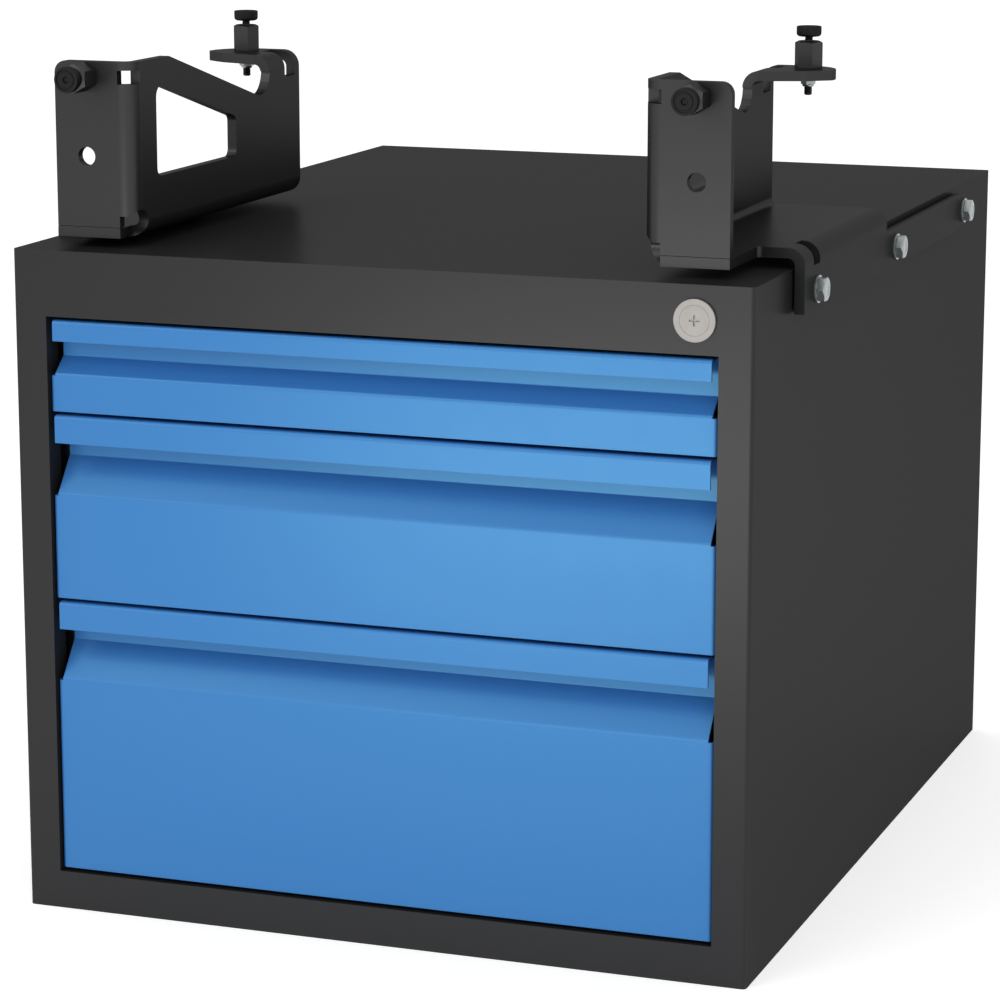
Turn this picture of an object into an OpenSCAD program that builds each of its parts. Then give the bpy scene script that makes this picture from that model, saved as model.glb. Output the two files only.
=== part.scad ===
// Under-table drawer unit: a sheet steel casing with three locking drawers on ball runners.
// Two folded plate brackets carry it, and adjustable feet on them press against a table frame.
// Millimetres, +Z up, +Y to the back. The origin is the middle of the casing's underside.
// The modules count y from the front face of the casing, and from_front() moves them into place.

/* [Casing] */
// Width of the casing
case_w = 450; // [420:10:600]
// Depth of the casing, front face to back panel
case_d = 580; // [570:10:700]
// Height of the casing
case_h = 400; // [380:10:600]
// Thickness of the casing's sheet
sheet = 1.5; // [1:0.1:2]
// Height of the front rail above the drawers
top_rail_h = 39; // [36:1:60]
// Height of the front rail below the drawers
bottom_rail_h = 23; // [20:1:40]
// Width of the front frame beside the drawers
stile_w = 20.5; // [19:0.5:24]
// Depth of the folds round the drawer opening
opening_fold = 15; // [8:1:18]
// Width of the folds that carry the back panel and edge the floor
rear_fold = 15; // [12:1:18]
// Outer radius of the casing's front upright edges
edge_r = 2.5; // [2:0.5:4]

/* [Uprights and rivets] */
// Distance of the front uprights from the front face
upright_y = 38; // [34:1:60]
// Width of each upright along the casing's depth
upright_w = 30; // [28:1:40]
// How far the uprights stand inside the drawer opening
upright_inset = 1; // [0.5:0.1:2]
// Height between the slots of an upright
slot_pitch = 25; // [20:1:40]
// Length of each slot
slot_l = 12; // [8:1:15]
// Width of each slot
slot_w = 5; // [3:0.5:6]
// Head diameter of the back panel's rivets
rivet_head_d = 8; // [7:0.5:10]
// Shank diameter of every rivet and of the runner screws
rivet_d = 4; // [3:0.5:4.5]

/* [Drawers] */
// Gap above, between and below the drawer fronts
front_gap = 2; // [1.5:0.1:3]
// Height of the top drawer's front
top_front_h = 54.5; // [50:0.5:70]
// Height of the middle drawer's front
middle_front_h = 110.5; // [80:0.5:120]
// Thickness of the drawer fronts' sheet
front_sheet = 1.5; // [1:0.1:2]
// How far the front panels lie behind the casing's front face
panel_recess = 2.5; // [2:0.1:4]
// Gap beside each front panel
panel_gap = 0.8; // [0.5:0.1:1.5]
// How much shorter each grip lip is than its panel, at each end
lip_inset = 3.1; // [1:0.1:6]
// Height of the top drawer's grip lip
top_lip_h = 12.4; // [8:0.1:16]
// Depth of the top drawer's finger groove
top_groove_d = 14; // [10:0.5:16]
// Height of the top drawer's groove wall, down to its slope
top_wall_h = 22.8; // [18:0.1:26]
// Height from the top drawer's upper edge to the foot of its slope
top_slope_h = 32.1; // [30:0.1:38]
// Height of the grip lip of the two lower drawers
lip_h = 16.5; // [12:0.5:22]
// Depth of the finger groove of the two lower drawers
groove_d = 19; // [14:0.5:19.5]
// Height of the groove wall of the two lower drawers, down to its slope
wall_h = 26.6; // [24:0.1:34]
// Height from the lower drawers' upper edge to the foot of their slope
slope_h = 47.3; // [40:0.1:56]
// Depth of the fold under each front that carries its tray
front_fold = 30; // [28:1:40]
// Depth of the folds at the sides of each front
side_fold = 12.5; // [8:0.5:12.5]
// Thickness of the trays' sheet
tray_sheet = 1.2; // [0.8:0.1:1.5]
// How far each tray's rim lies below the top of its front
tray_drop = 10; // [8:1:14]
// Space behind the trays
tray_space = 35; // [20:1:50]
// Width of the rim folded outward along a tray's sides
tray_rim = 4; // [2:0.5:4]

/* [Runners] */
// Thickness of a runner, upright to tray
runner_t = 13; // [12.5:0.1:14]
// Length of a runner
runner_l = 500; // [450:10:510]
// Distance of the runners from the front face
runner_y = 28; // [27:0.5:30]
// Height of a runner
runner_h = 38; // [36:0.5:40]
// Height of a runner's middle above its tray's floor
runner_rise = 23; // [22.5:0.1:24]
// Thickness of a runner's steel
runner_sheet = 1.2; // [1:0.1:1.3]
// Height left for the balls between two rails
ball_space = 4.3; // [4:0.1:4.5]
// Play between a rail's web and its neighbour
web_play = 1.8; // [1.5:0.1:2]
// Length of a ball cage
cage_l = 220; // [150:10:220]
// Width of a ball cage
cage_w = 3.5; // [3:0.1:4]

/* [Lock] */
// Distance of the lock from the casing's right side
lock_inset = 34.1; // [33:0.1:36]
// Distance of the lock from the casing's top
lock_drop = 19.7; // [19:0.1:22]
// Diameter of the lock's front flange
lock_flange_d = 24; // [22:0.5:26]
// How far the lock's flange stands out
lock_flange_t = 1.8; // [1:0.1:2.5]
// Diameter of the lock's threaded body
lock_body_d = 19; // [18:0.1:20]
// Length of the lock's body behind the front face
lock_body_l = 18; // [16:0.5:18]
// Diameter of the turning plug's face
plug_face_d = 17; // [15:0.5:17]
// Diameter of the turning plug's barrel
plug_d = 13; // [11:0.5:14]
// Width of the lock nut across its flats
lock_nut_af = 24; // [22:1:26]
// Thickness of the lock nut
lock_nut_t = 4; // [3:0.5:5]
// Reach of the cam from the lock's axis to its pin
cam_reach = 14; // [12:0.5:14]
// Thickness of the cam
cam_t = 2.5; // [2:0.1:3]
// Diameter of the cam's pin
cam_pin_d = 4; // [3:0.5:4.5]
// Distance of the locking bar's fingers from the front face
finger_y = 22; // [21.7:0.1:22.5]
// Thickness of the fingers
finger_t = 2; // [1.5:0.1:2]
// Thickness of the locking bar
bar_t = 2; // [1.5:0.1:3]
// Width of the locking bar
bar_w = 12; // [8:0.5:13]
// Height of a catch and of a finger
catch_h = 4.5; // [3:0.5:5]

/* [Brackets] */
// Thickness of the bracket plate
plate_t = 6; // [4:0.5:7]
// Inner radius of the plate's bends
bend_r = 4; // [3:0.5:5]
// Distance of the brackets from the front face
bracket_y = 19; // [10:1:30]
// Length of the upright plate
bracket_l = 242; // [235:1:260]
// Height of the brackets above the casing's top
bracket_h = 108.5; // [104:0.5:116]
// Gap between the casing's top and the bracket
bracket_gap = 6; // [4:0.5:8]
// Distance from the casing's side to the upright plate's inner face
plate_inset = 71; // [66:0.5:80]
// Distance from the casing's side to the outer edge of flange and tab
flange_inset = 20.5; // [16:0.5:24]
// Length of the upright plate's level top edge
level_l = 48.5; // [40:0.5:60]
// Fall of the top edge per millimetre behind that
edge_fall = 0.27; // [0.2:0.01:0.28]
// Length of the rear tab along the bracket
tab_l = 46.5; // [42:0.5:52]
// Height of the rear tab's top above the casing's top
tab_h = 97; // [94:0.5:100]
// Radius of the valley between the sloping edge and the tab
valley_r = 15; // [12:1:24]
// Distance from the bracket's front to its window
window_y = 30; // [26:0.5:34]
// Length of the window
window_l = 113; // [80:0.5:118]
// Height of the window's sill above the casing's top
window_z = 39.5; // [36:0.5:46]
// Height of the window at its rear end
window_rear_h = 24.5; // [20:0.5:28]
// Distance from the bracket's front to the wing that reaches the casing's side
wing_y = 54.5; // [45:0.5:60]
// Gap between the casing's side and the bracket's leg
leg_gap = 1.5; // [1:0.1:3]
// Height of the leg along the casing's side
leg_h = 22; // [18:0.5:24]
// Distance of the casing bolts from the casing's top
bolt_drop = 14.5; // [13:0.5:20]
// Distance from the wing's front edge to the first bolt
bolt_y = 27.5; // [25:0.5:45]
// Distance from bolt to bolt
bolt_pitch = 185.5; // [150:0.5:190]
// Thread diameter of the casing bolts
bolt_d = 8; // [6:1:8]
// Width of the bolt heads across their flats
bolt_af = 13; // [10:1:13]
// Height of the bolt heads
bolt_head_h = 4.6; // [4:0.1:6]
// Diameter of the bolts' washers
washer_d = 16; // [14:1:18]
// Thickness of the washers
washer_t = 1.2; // [1:0.1:2]
// Diameter of the fastening hole in each front flange
flange_hole_d = 11; // [9:0.5:13]
// Height of the fastening hole above the casing's top
flange_hole_z = 53.3; // [50:0.1:60]

/* [Feet] */
// Distance of the feet from the casing's side
foot_inset = 40; // [38:0.5:42]
// Distance of the rear feet from the brackets' rear edge
foot_rear = 12.3; // [10:0.1:16]
// Distance of the front feet from the brackets' top edge
foot_drop = 8.9; // [8.7:0.1:12]
// Width of a foot's hexagon sleeve across its flats
sleeve_af = 15; // [13:1:17]
// Length of the sleeve
sleeve_l = 16; // [12:1:20]
// Diameter of a foot's stud
stud_d = 5; // [4:0.5:6]
// Length of bare stud between sleeve and pad
stud_bare = 2.6; // [2.5:0.1:6]
// Length of stud on the plate's far side
stud_tail = 10.6; // [9:0.1:16]
// Diameter of a foot's pad
pad_d = 15; // [12:1:20]
// Thickness of the pad
pad_t = 6.2; // [5:0.1:8]
// Width of the locknuts across their flats
locknut_af = 8; // [8:1:10]
// Height of the locknuts
locknut_h = 5.5; // [4:0.1:6]

/* [Hidden] */
$fn = 48;

casing_colour = "#484a4c";
front_colour = "#4f94d2";
bracket_colour = "#3c3d3e";
zinc_colour = "#b9bfbf";
nickel_colour = "#d7cdc3";
black_colour = "#222324";
plastic_colour = "#d8d8d2";

// Clearances of the sliding, running and loose fits
loose = 0.2;
slide_play = 0.1;
run_play = 0.05;
cage_play = 0.3;
catch_play = 0.5;
through = 1;

left = -1;
right = 1;
rear_places = [["rear_left", left], ["rear_right", right]];
front_places = [["front_left", left], ["front_right", right]];

side_in = case_w / 2 - sheet;
back_y = case_d - sheet;
open_w = case_w - 2 * stile_w;
open_top = case_h - top_rail_h;
open_h = open_top - bottom_rail_h;
panel_hw = open_w / 2 - panel_gap;
lip_hw = panel_hw - lip_inset;
bend_in = 0.8;
front_bend = bend_in + front_sheet;

// Heights and depths of drawer n, where 1 is the top one
bottom_front_h = open_h - top_front_h - middle_front_h - 4 * front_gap;
front_hs = [top_front_h, middle_front_h, bottom_front_h];
function sum(list, count) = count == 0 ? 0 : list[count - 1] + sum(list, count - 1);
function front_top(n) = open_top - n * front_gap - sum(front_hs, n - 1);
function front_h(n) = front_hs[n - 1];
function front_bottom(n) = front_top(n) - front_h(n);
function lip_of(n) = n == 1 ? top_lip_h : lip_h;
function groove_of(n) = n == 1 ? top_groove_d : groove_d;
function wall_of(n) = n == 1 ? top_wall_h : wall_h;
function slope_of(n) = n == 1 ? top_slope_h : slope_h;
function tray_y(n) = groove_of(n) + front_sheet;
function tray_z(n) = front_bottom(n) + front_sheet;
function tray_top(n) = front_top(n) - tray_drop;
function runner_z(n) = tray_z(n) + runner_rise;
function catch_z(n) = runner_z(n) + middle_hh + catch_play + catch_h / 2;

// Runner section, from the upright inward to the tray
web_x = open_w / 2 - upright_inset;
tray_hw = web_x - runner_t;
tray_back = back_y - tray_space + sheet;
middle_web_x = web_x - runner_sheet - web_play;
middle_tip_x = tray_hw + runner_sheet + web_play - 0.5;
outer_tip_x = middle_tip_x + 2;
inner_tip_x = middle_web_x - runner_sheet - web_play;
middle_hh = runner_h / 2 - runner_sheet - ball_space;
inner_hh = middle_hh - runner_sheet - ball_space;
rail_bend = 2;
cage_h = ball_space - cage_play;
cage_end = 8;
rivet_head_h = 1.3;
rivet_tail_h = 1.5;
rear_upright_y = runner_y + runner_l - upright_w;
screw_head_d = 7;
screw_head_h = 1;
screw_tail = 4;

// Fastening of tray to front
joint_rivet_y = panel_recess + front_fold - 5.5;
joint_rivets = 5;
joint_rivet_side = 20;
joint_head_d = 7;
joint_head_h = 1;
joint_tail_d = 5.5;
joint_tail_h = 0.9;

// Lock train: the pin travels from above the lock's axis to below it, and the bar goes down with it
lock_x = case_w / 2 - lock_inset;
lock_z = case_h - lock_drop;
cam_y = lock_body_l + 1;
cam_swing = 45;
cam_rest = [lock_x + cam_reach * cos(cam_swing), lock_z + cam_reach * sin(cam_swing)];
bar_travel = 2 * cam_reach * sin(cam_swing);
bar_x = open_w / 2 + 3.5;
pin_space = 0.6;
slot_side = 3;
bar_y = finger_y + finger_t;
catch_y = finger_y + finger_t + catch_play;
catch_x = web_x - 3.5;
catch_t = 2;
finger_lap = 3;
rim_y = catch_y + catch_t + catch_play;
guide_h = 10;
guide_wall = 2;
guide_drop = 45;
guide_rise = 80;
guide_heights = [open_top - guide_drop, catch_z(3) + guide_rise];

// Bracket, right-hand one, heights from the casing's top
bend_out = bend_r + plate_t;
plate_x = case_w / 2 - plate_inset;
flange_x = case_w / 2 - flange_inset;
leg_x = case_w / 2 + leg_gap;
leg_out = leg_x + plate_t;
flange_z = case_h + bracket_gap;
bracket_top = case_h + bracket_h;
bracket_end = bracket_y + bracket_l;
tab_y = bracket_end - tab_l;
tab_top = case_h + tab_h;
bolt_z = case_h - bolt_drop;
leg_front = bracket_y + wing_y;
bolt_count = 3;
bolt_ys = [for (k = [0 : bolt_count - 1]) leg_front + bolt_y + k * bolt_pitch];
last_bolt_y = bolt_ys[bolt_count - 1];
seam = 0.3;
relief_r = 8.5;
relief_h = 7;
relief_sink = 5;
notch_l = 9;
flange_corner_r = 7;
bend_hole_z = 5;
bend_hole_h = 8;
tab_hole_y = 7;
tab_hole_l = 16;
tab_hole_side = 6;
tab_hole_drop = 5.5;
side_hole_y = 18.5;
side_hole_l = 14;
side_hole_side = 1.5;
side_hole_drop = 2;
window_sill_r = 5;
window_rear_r = 4;
window_front_r = 7;
tab_lead = 1.5;
tab_waist_side = 14.5;
tab_waist_y = 7.5;
tab_waist_r = 20;
tab_shoulder_y = 18.5;
tab_shoulder_r = 6;
tab_corner_r = 24;
wing_corner_r = 3;
leg_corner_r = 2;
nut_body_d = 11;
nut_body_l = 15;
nut_flange_d = 15;

// Feet
foot_x = case_w / 2 - foot_inset;
foot_y = bracket_end - foot_rear;
foot_z = bracket_top - foot_drop;
stud_start = -plate_t - stud_tail;
pad_z = sleeve_l + stud_bare;
stud_seat = 3;
sleeve_edge = 1.2;

// Every node, in the order in which the unit is put together

function unit(v) = v / norm(v);
function turn(from, to) = (to - from + 540) % 360 - 180;
function reverse(list) = [for (k = [len(list) - 1 : -1 : 0]) list[k]];

// Points of an outline or path whose corners are rounded, each corner given as [x, y, radius]
function rounded(corners, steps = 6) = [
    for (k = [0 : len(corners) - 1])
        let (
            count = len(corners),
            here = [corners[k][0], corners[k][1]],
            before = corners[(k + count - 1) % count],
            after = corners[(k + 1) % count],
            radius = corners[k][2],
            to_before = unit([before[0], before[1]] - here),
            to_after = unit([after[0], after[1]] - here),
            half = acos(to_before * to_after) / 2,
            centre = radius == 0 ? here : here + unit(to_before + to_after) * radius / sin(half),
            start = radius == 0 ? here : here + to_before * radius / tan(half) - centre,
            stop = radius == 0 ? here : here + to_after * radius / tan(half) - centre,
            first = atan2(start[1], start[0]),
            sweep = turn(first, atan2(stop[1], stop[0]))
        )
        each radius == 0 ? [here] : [
            for (s = [0 : steps])
                centre + radius * [cos(first + sweep * s / steps), sin(first + sweep * s / steps)]
        ]
];

// Folded sheet: a path and its copy at the sheet's thickness to the left, joined into one outline
function left_of(a, b) = let (d = unit(b - a)) [-d[1], d[0]];
function offset_path(path, t) = [
    for (k = [0 : len(path) - 1])
        let (
            last = len(path) - 1,
            into = left_of(path[max(k - 1, 0)], path[max(k, 1)]),
            away = left_of(path[min(k, last - 1)], path[min(k + 1, last)])
        )
        path[k] + (into + away) * t / (1 + into * away)
];
function folded(path, t) = concat(path, reverse(offset_path(path, t)));

module from_front() {
    translate([0, -case_d / 2, 0]) children();
}

module on_side(side) {
    mirror([side < 0 ? 1 : 0, 0, 0]) children();
}

// An outline in Y and Z, drawn out from x0 to x1
module along_x(x0, x1) {
    translate([x0, 0, 0]) rotate([90, 0, 90]) linear_extrude(x1 - x0) children();
}

// An outline in X and Z, drawn out from y0 to y1
module along_y(y0, y1) {
    translate([0, y1, 0]) rotate([90, 0, 0]) linear_extrude(y1 - y0) children();
}

module box(low, high) {
    translate(low) cube(high - low);
}

module rod_x(x0, x1, y, z, d) {
    translate([x0, y, z]) rotate([0, 90, 0]) cylinder(d = d, h = x1 - x0);
}

module rod_y(x, y0, y1, z, d) {
    translate([x, y1, z]) rotate([90, 0, 0]) cylinder(d = d, h = y1 - y0);
}

module hexagon(af) {
    circle(d = af / cos(30), $fn = 6);
}

module quarter_bend(quarter) {
    rotate(quarter * 90) intersection() {
        difference() {
            circle(r = bend_out);
            circle(r = bend_r);
        }
        square(bend_out);
    }
}

module opening_block(extra, y0, y1) {
    box([-open_w / 2 - extra, y0, bottom_rail_h - extra], [open_w / 2 + extra, y1, open_top + extra]);
}

module casing_outline() {
    polygon(rounded([
        [-case_w / 2, back_y, 0],
        [-case_w / 2, 0, edge_r],
        [case_w / 2, 0, edge_r],
        [case_w / 2, back_y, 0]
    ]));
}

module casing_walls() {
    path = rounded([
        [-case_w / 2, back_y, 0],
        [-case_w / 2, 0, edge_r],
        [case_w / 2, 0, edge_r],
        [case_w / 2, back_y, 0]
    ]);
    linear_extrude(case_h) polygon(folded(path, sheet));
    translate([0, 0, case_h - sheet]) linear_extrude(sheet) casing_outline();
}

module rear_ring() {
    difference() {
        box([-case_w / 2, back_y - sheet, 0], [case_w / 2, back_y, case_h]);
        box(
            [-case_w / 2 + rear_fold, back_y - sheet - through, rear_fold],
            [case_w / 2 - rear_fold, back_y + through, case_h - rear_fold]
        );
    }
}

module at_back_rivets() {
    edge = rear_fold / 2;
    for (side = [left, right], k = [0 : 4])
        translate([side * (case_w / 2 - edge), case_d, edge + k * (case_h - rear_fold) / 4]) children();
    for (x = [-1 : 1], z = [edge, case_h - edge])
        translate([x * (case_w / 2 - edge) / 2, case_d, z]) children();
}

module casing_shell() {
    color(casing_colour) from_front() difference() {
        union() {
            difference() {
                casing_walls();
                opening_block(0, -through, sheet + through);
            }
            difference() {
                opening_block(sheet, 0, opening_fold);
                opening_block(0, -through, opening_fold + through);
            }
            rear_ring();
        }
        rod_y(lock_x, -through, sheet + through, lock_z, lock_body_d + loose);
        for (side = [left, right], y = bolt_ys)
            on_side(side) rod_x(side_in - through, case_w / 2 + through, y, bolt_z, nut_body_d + loose);
        at_back_rivets() rod_y(0, -2 * sheet - through, through, 0, rivet_d + loose);
    }
}

module bottom_panel() {
    floor_end = back_y - sheet - rivet_tail_h - loose;
    color(casing_colour) from_front() {
        box([-side_in, sheet, 0], [side_in, floor_end, sheet]);
        box([-side_in, sheet, 0], [side_in, 2 * sheet, rear_fold]);
        box([-side_in, floor_end - sheet, 0], [side_in, floor_end, rear_fold]);
        for (side = [left, right])
            on_side(side) box([side_in - sheet, sheet, 0], [side_in, floor_end, rear_fold]);
    }
}

module back_panel() {
    color(casing_colour) from_front() difference() {
        box([-case_w / 2, back_y, 0], [case_w / 2, case_d, case_h]);
        at_back_rivets() rod_y(0, -sheet - through, through, 0, rivet_d + loose);
    }
}

module back_rivets() {
    color(zinc_colour) from_front() at_back_rivets() {
        rod_y(0, 0, rivet_head_h, 0, rivet_head_d);
        rod_y(0, -2 * sheet, 0, 0, rivet_d);
        rod_y(0, -2 * sheet - rivet_tail_h, -2 * sheet, 0, joint_tail_d);
    }
}

module uprights(y) {
    flange_end = side_in - sheet;
    column_edge = 4;
    path = rounded([
        [flange_end, y + upright_w, 0],
        [web_x, y + upright_w, rail_bend],
        [web_x, y, rail_bend],
        [flange_end, y, 0]
    ]);
    slot_rows = floor((case_h - 2 * sheet) / slot_pitch) - 1;
    color(zinc_colour) from_front() for (side = [left, right]) on_side(side) difference() {
        translate([0, 0, sheet]) linear_extrude(case_h - 2 * sheet) polygon(folded(path, sheet));
        for (row = [0 : slot_rows], column = [y + column_edge, y + upright_w - column_edge - slot_w])
            translate([web_x - through, column, sheet + (row + 0.5) * slot_pitch])
                cube([sheet + 2 * through, slot_w, slot_l]);
        for (n = [1 : 3])
            rod_x(web_x - through, web_x + sheet + through, y + upright_w / 2, runner_z(n), rivet_d + loose);
    }
}

module at_runner_screws() {
    for (side = [left, right], y = [upright_y, rear_upright_y], n = [1 : 3])
        on_side(side) translate([web_x, y + upright_w / 2, runner_z(n)]) children();
}

module runner_screws() {
    color(zinc_colour) from_front() at_runner_screws() {
        rod_x(-runner_sheet - screw_head_h, -runner_sheet, 0, 0, screw_head_d);
        rod_x(-runner_sheet, screw_tail, 0, 0, rivet_d);
    }
}

module lock_housing() {
    face_depth = 1.5;
    color(nickel_colour) from_front() difference() {
        union() {
            rod_y(lock_x, -lock_flange_t, 0, lock_z, lock_flange_d);
            rod_y(lock_x, 0, lock_body_l, lock_z, lock_body_d);
        }
        rod_y(lock_x, -lock_flange_t - through, face_depth, lock_z, plug_face_d + 2 * run_play);
        rod_y(lock_x, 0, lock_body_l + through, lock_z, plug_d + 2 * run_play);
    }
}

module lock_nut() {
    color(zinc_colour) from_front() difference() {
        translate([lock_x, sheet + lock_nut_t, lock_z]) rotate([90, 0, 0])
            linear_extrude(lock_nut_t) hexagon(lock_nut_af);
        rod_y(lock_x, 0, sheet + lock_nut_t + through, lock_z, lock_body_d + loose);
    }
}

module lock_cylinder() {
    tail_w = 6;
    face_depth = 1.5 - slide_play;
    mark_l = 6;
    mark_w = 1;
    mark_depth = 0.8;
    color(nickel_colour) from_front() difference() {
        union() {
            rod_y(lock_x, -lock_flange_t, face_depth, lock_z, plug_face_d);
            rod_y(lock_x, 0, lock_body_l, lock_z, plug_d);
            translate([lock_x, lock_body_l, lock_z]) rotate([0, -cam_swing, 0])
                translate([-tail_w / 2, 0, -tail_w / 2]) cube([tail_w, 1 + cam_t, tail_w]);
        }
        for (size = [[mark_l, mark_w], [mark_w, mark_l]])
            translate([lock_x - size[0] / 2, -lock_flange_t - through, lock_z - size[1] / 2])
                cube([size[0], mark_depth + through, size[1]]);
    }
}

module lock_cam() {
    hub_d = 16;
    arm_w = 8;
    tail_w = 6;
    color(zinc_colour) from_front() translate([lock_x, cam_y, lock_z]) rotate([0, -cam_swing, 0]) {
        difference() {
            union() {
                rod_y(0, 0, cam_t, 0, hub_d);
                translate([0, 0, -arm_w / 2]) cube([cam_reach, cam_t, arm_w]);
                rod_y(cam_reach, 0, cam_t, 0, arm_w);
            }
            translate([-tail_w / 2, -through, -tail_w / 2]) cube([tail_w, cam_t + 2 * through, tail_w]);
        }
        rod_y(cam_reach, 0, bar_y + bar_t + through - cam_y, 0, cam_pin_d);
    }
}

module lock_bar() {
    slot_h = cam_pin_d + 2 * pin_space;
    slot_x0 = cam_rest[0] - cam_pin_d / 2 - pin_space;
    slot_x1 = lock_x + cam_reach + cam_pin_d / 2 + pin_space;
    ear_hh = slot_h / 2 + 4;
    bar_low = catch_z(3) + bar_travel - catch_h;
    color(zinc_colour) from_front() difference() {
        union() {
            box([bar_x, bar_y, bar_low], [bar_x + bar_w, bar_y + bar_t, cam_rest[1] + ear_hh]);
            box(
                [slot_x0 - slot_side, bar_y, cam_rest[1] - ear_hh],
                [bar_x + bar_w, bar_y + bar_t, cam_rest[1] + ear_hh]
            );
        }
        box(
            [slot_x0, bar_y - through, cam_rest[1] - slot_h / 2],
            [slot_x1, bar_y + bar_t + through, cam_rest[1] + slot_h / 2]
        );
    }
}

module lock_fingers() {
    color(zinc_colour) from_front() for (n = [1 : 3])
        translate([0, 0, catch_z(n) + bar_travel - catch_h / 2])
            box([catch_x - finger_lap, finger_y, 0], [bar_x + bar_w, finger_y + finger_t, catch_h]);
}

module bar_guides() {
    color(black_colour) from_front() for (z = guide_heights)
        difference() {
            box(
                [bar_x - guide_wall, bar_y - guide_wall, z],
                [side_in, bar_y + bar_t + guide_wall, z + guide_h]
            );
            box(
                [bar_x - slide_play, bar_y - slide_play, z - through],
                [bar_x + bar_w + slide_play, bar_y + bar_t + slide_play, z + guide_h + through]
            );
        }
}

// Side view of the upright plate, with its level edge, slope, valley and window
module plate_outline() {
    bend_end = bracket_y + bend_out;
    level_end = bracket_y + level_l;
    valley_z = bracket_top - edge_fall * (tab_y - level_end);
    window_front = bracket_y + window_y;
    window_end = window_front + window_l;
    sill = case_h + window_z;
    head = sill + window_rear_h;
    difference() {
        polygon(rounded([
            [bend_end, flange_z + bend_out, 0],
            [bracket_end, flange_z + bend_out, 0],
            [bracket_end, bracket_top, 0],
            [tab_y, bracket_top, 0],
            [tab_y, valley_z, valley_r],
            [level_end, bracket_top, 0],
            [bend_end, bracket_top, 0]
        ], 10));
        translate([tab_y - bend_out, tab_top - bend_out]) square([bracket_l, bracket_h]);
        polygon(rounded([
            [window_front, sill, window_sill_r],
            [window_end, sill, window_sill_r],
            [window_end, head, window_rear_r],
            [window_front, head + edge_fall * window_l, window_front_r]
        ]));
    }
}

module flange_outline() {
    polygon(rounded([
        [plate_x + bend_out, case_h + bracket_gap + plate_t + seam, 0],
        [flange_x, case_h + bracket_gap + plate_t + seam, 0],
        [flange_x, bracket_top, flange_corner_r],
        [plate_x + bend_out, bracket_top, 0]
    ]));
}

module tab_outline() {
    inner = plate_x + bend_out;
    polygon(rounded([
        [inner, tab_y - tab_lead, 0],
        [flange_x - tab_waist_side, tab_y + tab_waist_y, tab_waist_r],
        [flange_x, tab_y + tab_shoulder_y, tab_shoulder_r],
        [flange_x, bracket_end, tab_corner_r],
        [inner, bracket_end, 0]
    ]));
}

module base_outline() {
    inner = plate_x + bend_out;
    outer = leg_out - bend_out;
    polygon(rounded([
        [inner, bracket_y, 0],
        [flange_x, bracket_y, 0],
        [flange_x, leg_front, wing_corner_r],
        [outer, leg_front, 0],
        [outer, bracket_end, 0],
        [inner, bracket_end, 0]
    ]));
}

module leg_outline() {
    low = bolt_z - leg_h / 2;
    high = bolt_z + leg_h / 2;
    end = last_bolt_y + leg_h / 2;
    end_r = leg_h / 2 - 0.1;
    bend_low = flange_z + plate_t - bend_out;
    polygon(rounded([
        [leg_front, low, 0],
        [end, low, end_r],
        [end, high, end_r],
        [bracket_end, high, leg_corner_r],
        [bracket_end, bend_low, 0],
        [leg_front, bend_low, 0]
    ]));
}

module bracket_solid() {
    inner = plate_x + bend_out;
    flange_low = flange_z + plate_t + seam;
    along_x(plate_x, plate_x + plate_t) plate_outline();
    along_y(bracket_y, bracket_y + plate_t) flange_outline();
    translate([inner, bracket_y + bend_out, flange_low])
        linear_extrude(bracket_top - flange_low) quarter_bend(2);
    along_y(bracket_y + bend_out, bracket_end) translate([inner, flange_z + bend_out]) quarter_bend(2);
    translate([0, 0, flange_z]) linear_extrude(plate_t) base_outline();
    along_y(tab_y - tab_lead, bracket_end) translate([inner, tab_top - bend_out]) quarter_bend(1);
    translate([0, 0, tab_top - plate_t]) linear_extrude(plate_t) tab_outline();
    along_y(leg_front, bracket_end)
        translate([leg_out - bend_out, flange_z + plate_t - bend_out]) quarter_bend(0);
    along_x(leg_x, leg_out) leg_outline();
}

// Corner relief, and the holes that weaken each bend
module bracket_cuts() {
    inner = plate_x + bend_out;
    relief_y = bracket_y + notch_l - 1;
    relief_z = flange_z + plate_t + relief_h - relief_sink;
    leg_hole_low = flange_z + plate_t - bend_out - side_hole_drop;
    box(
        [plate_x - through, bracket_y - through, flange_z - through],
        [inner + 0.5, bracket_y + bend_out + through, flange_z + plate_t + relief_h]
    );
    rod_x(plate_x - through, inner + 0.5, relief_y, relief_z, 2 * relief_r);
    box(
        [plate_x - through, bracket_y - through, bracket_top - bend_hole_z - bend_hole_h],
        [inner + 0.5, bracket_y + notch_l, bracket_top - bend_hole_z]
    );
    box(
        [plate_x - through, bracket_end - tab_hole_y - tab_hole_l, tab_top - bend_out - tab_hole_drop],
        [inner + tab_hole_side, bracket_end - tab_hole_y, tab_top + through]
    );
    box(
        [leg_out - bend_out - side_hole_side, leg_front + side_hole_y, leg_hole_low],
        [leg_out + through, leg_front + side_hole_y + side_hole_l, flange_z + plate_t + through]
    );
    rod_y(foot_x, bracket_y - through, bracket_y + plate_t + through, case_h + flange_hole_z, flange_hole_d);
    rod_y(foot_x, bracket_y - through, bracket_y + plate_t + through, foot_z, stud_d + 2 * loose);
    translate([foot_x, foot_y, tab_top - plate_t - through])
        cylinder(d = stud_d + 2 * loose, h = plate_t + 2 * through);
    for (y = bolt_ys)
        rod_x(leg_x - through, leg_out + through, y, bolt_z, bolt_d + 1);
}

module bracket(side) {
    color(bracket_colour) from_front() on_side(side) difference() {
        bracket_solid();
        bracket_cuts();
    }
}

module at_bolts() {
    for (side = [left, right], y = bolt_ys)
        on_side(side) translate([0, y, bolt_z]) children();
}

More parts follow.
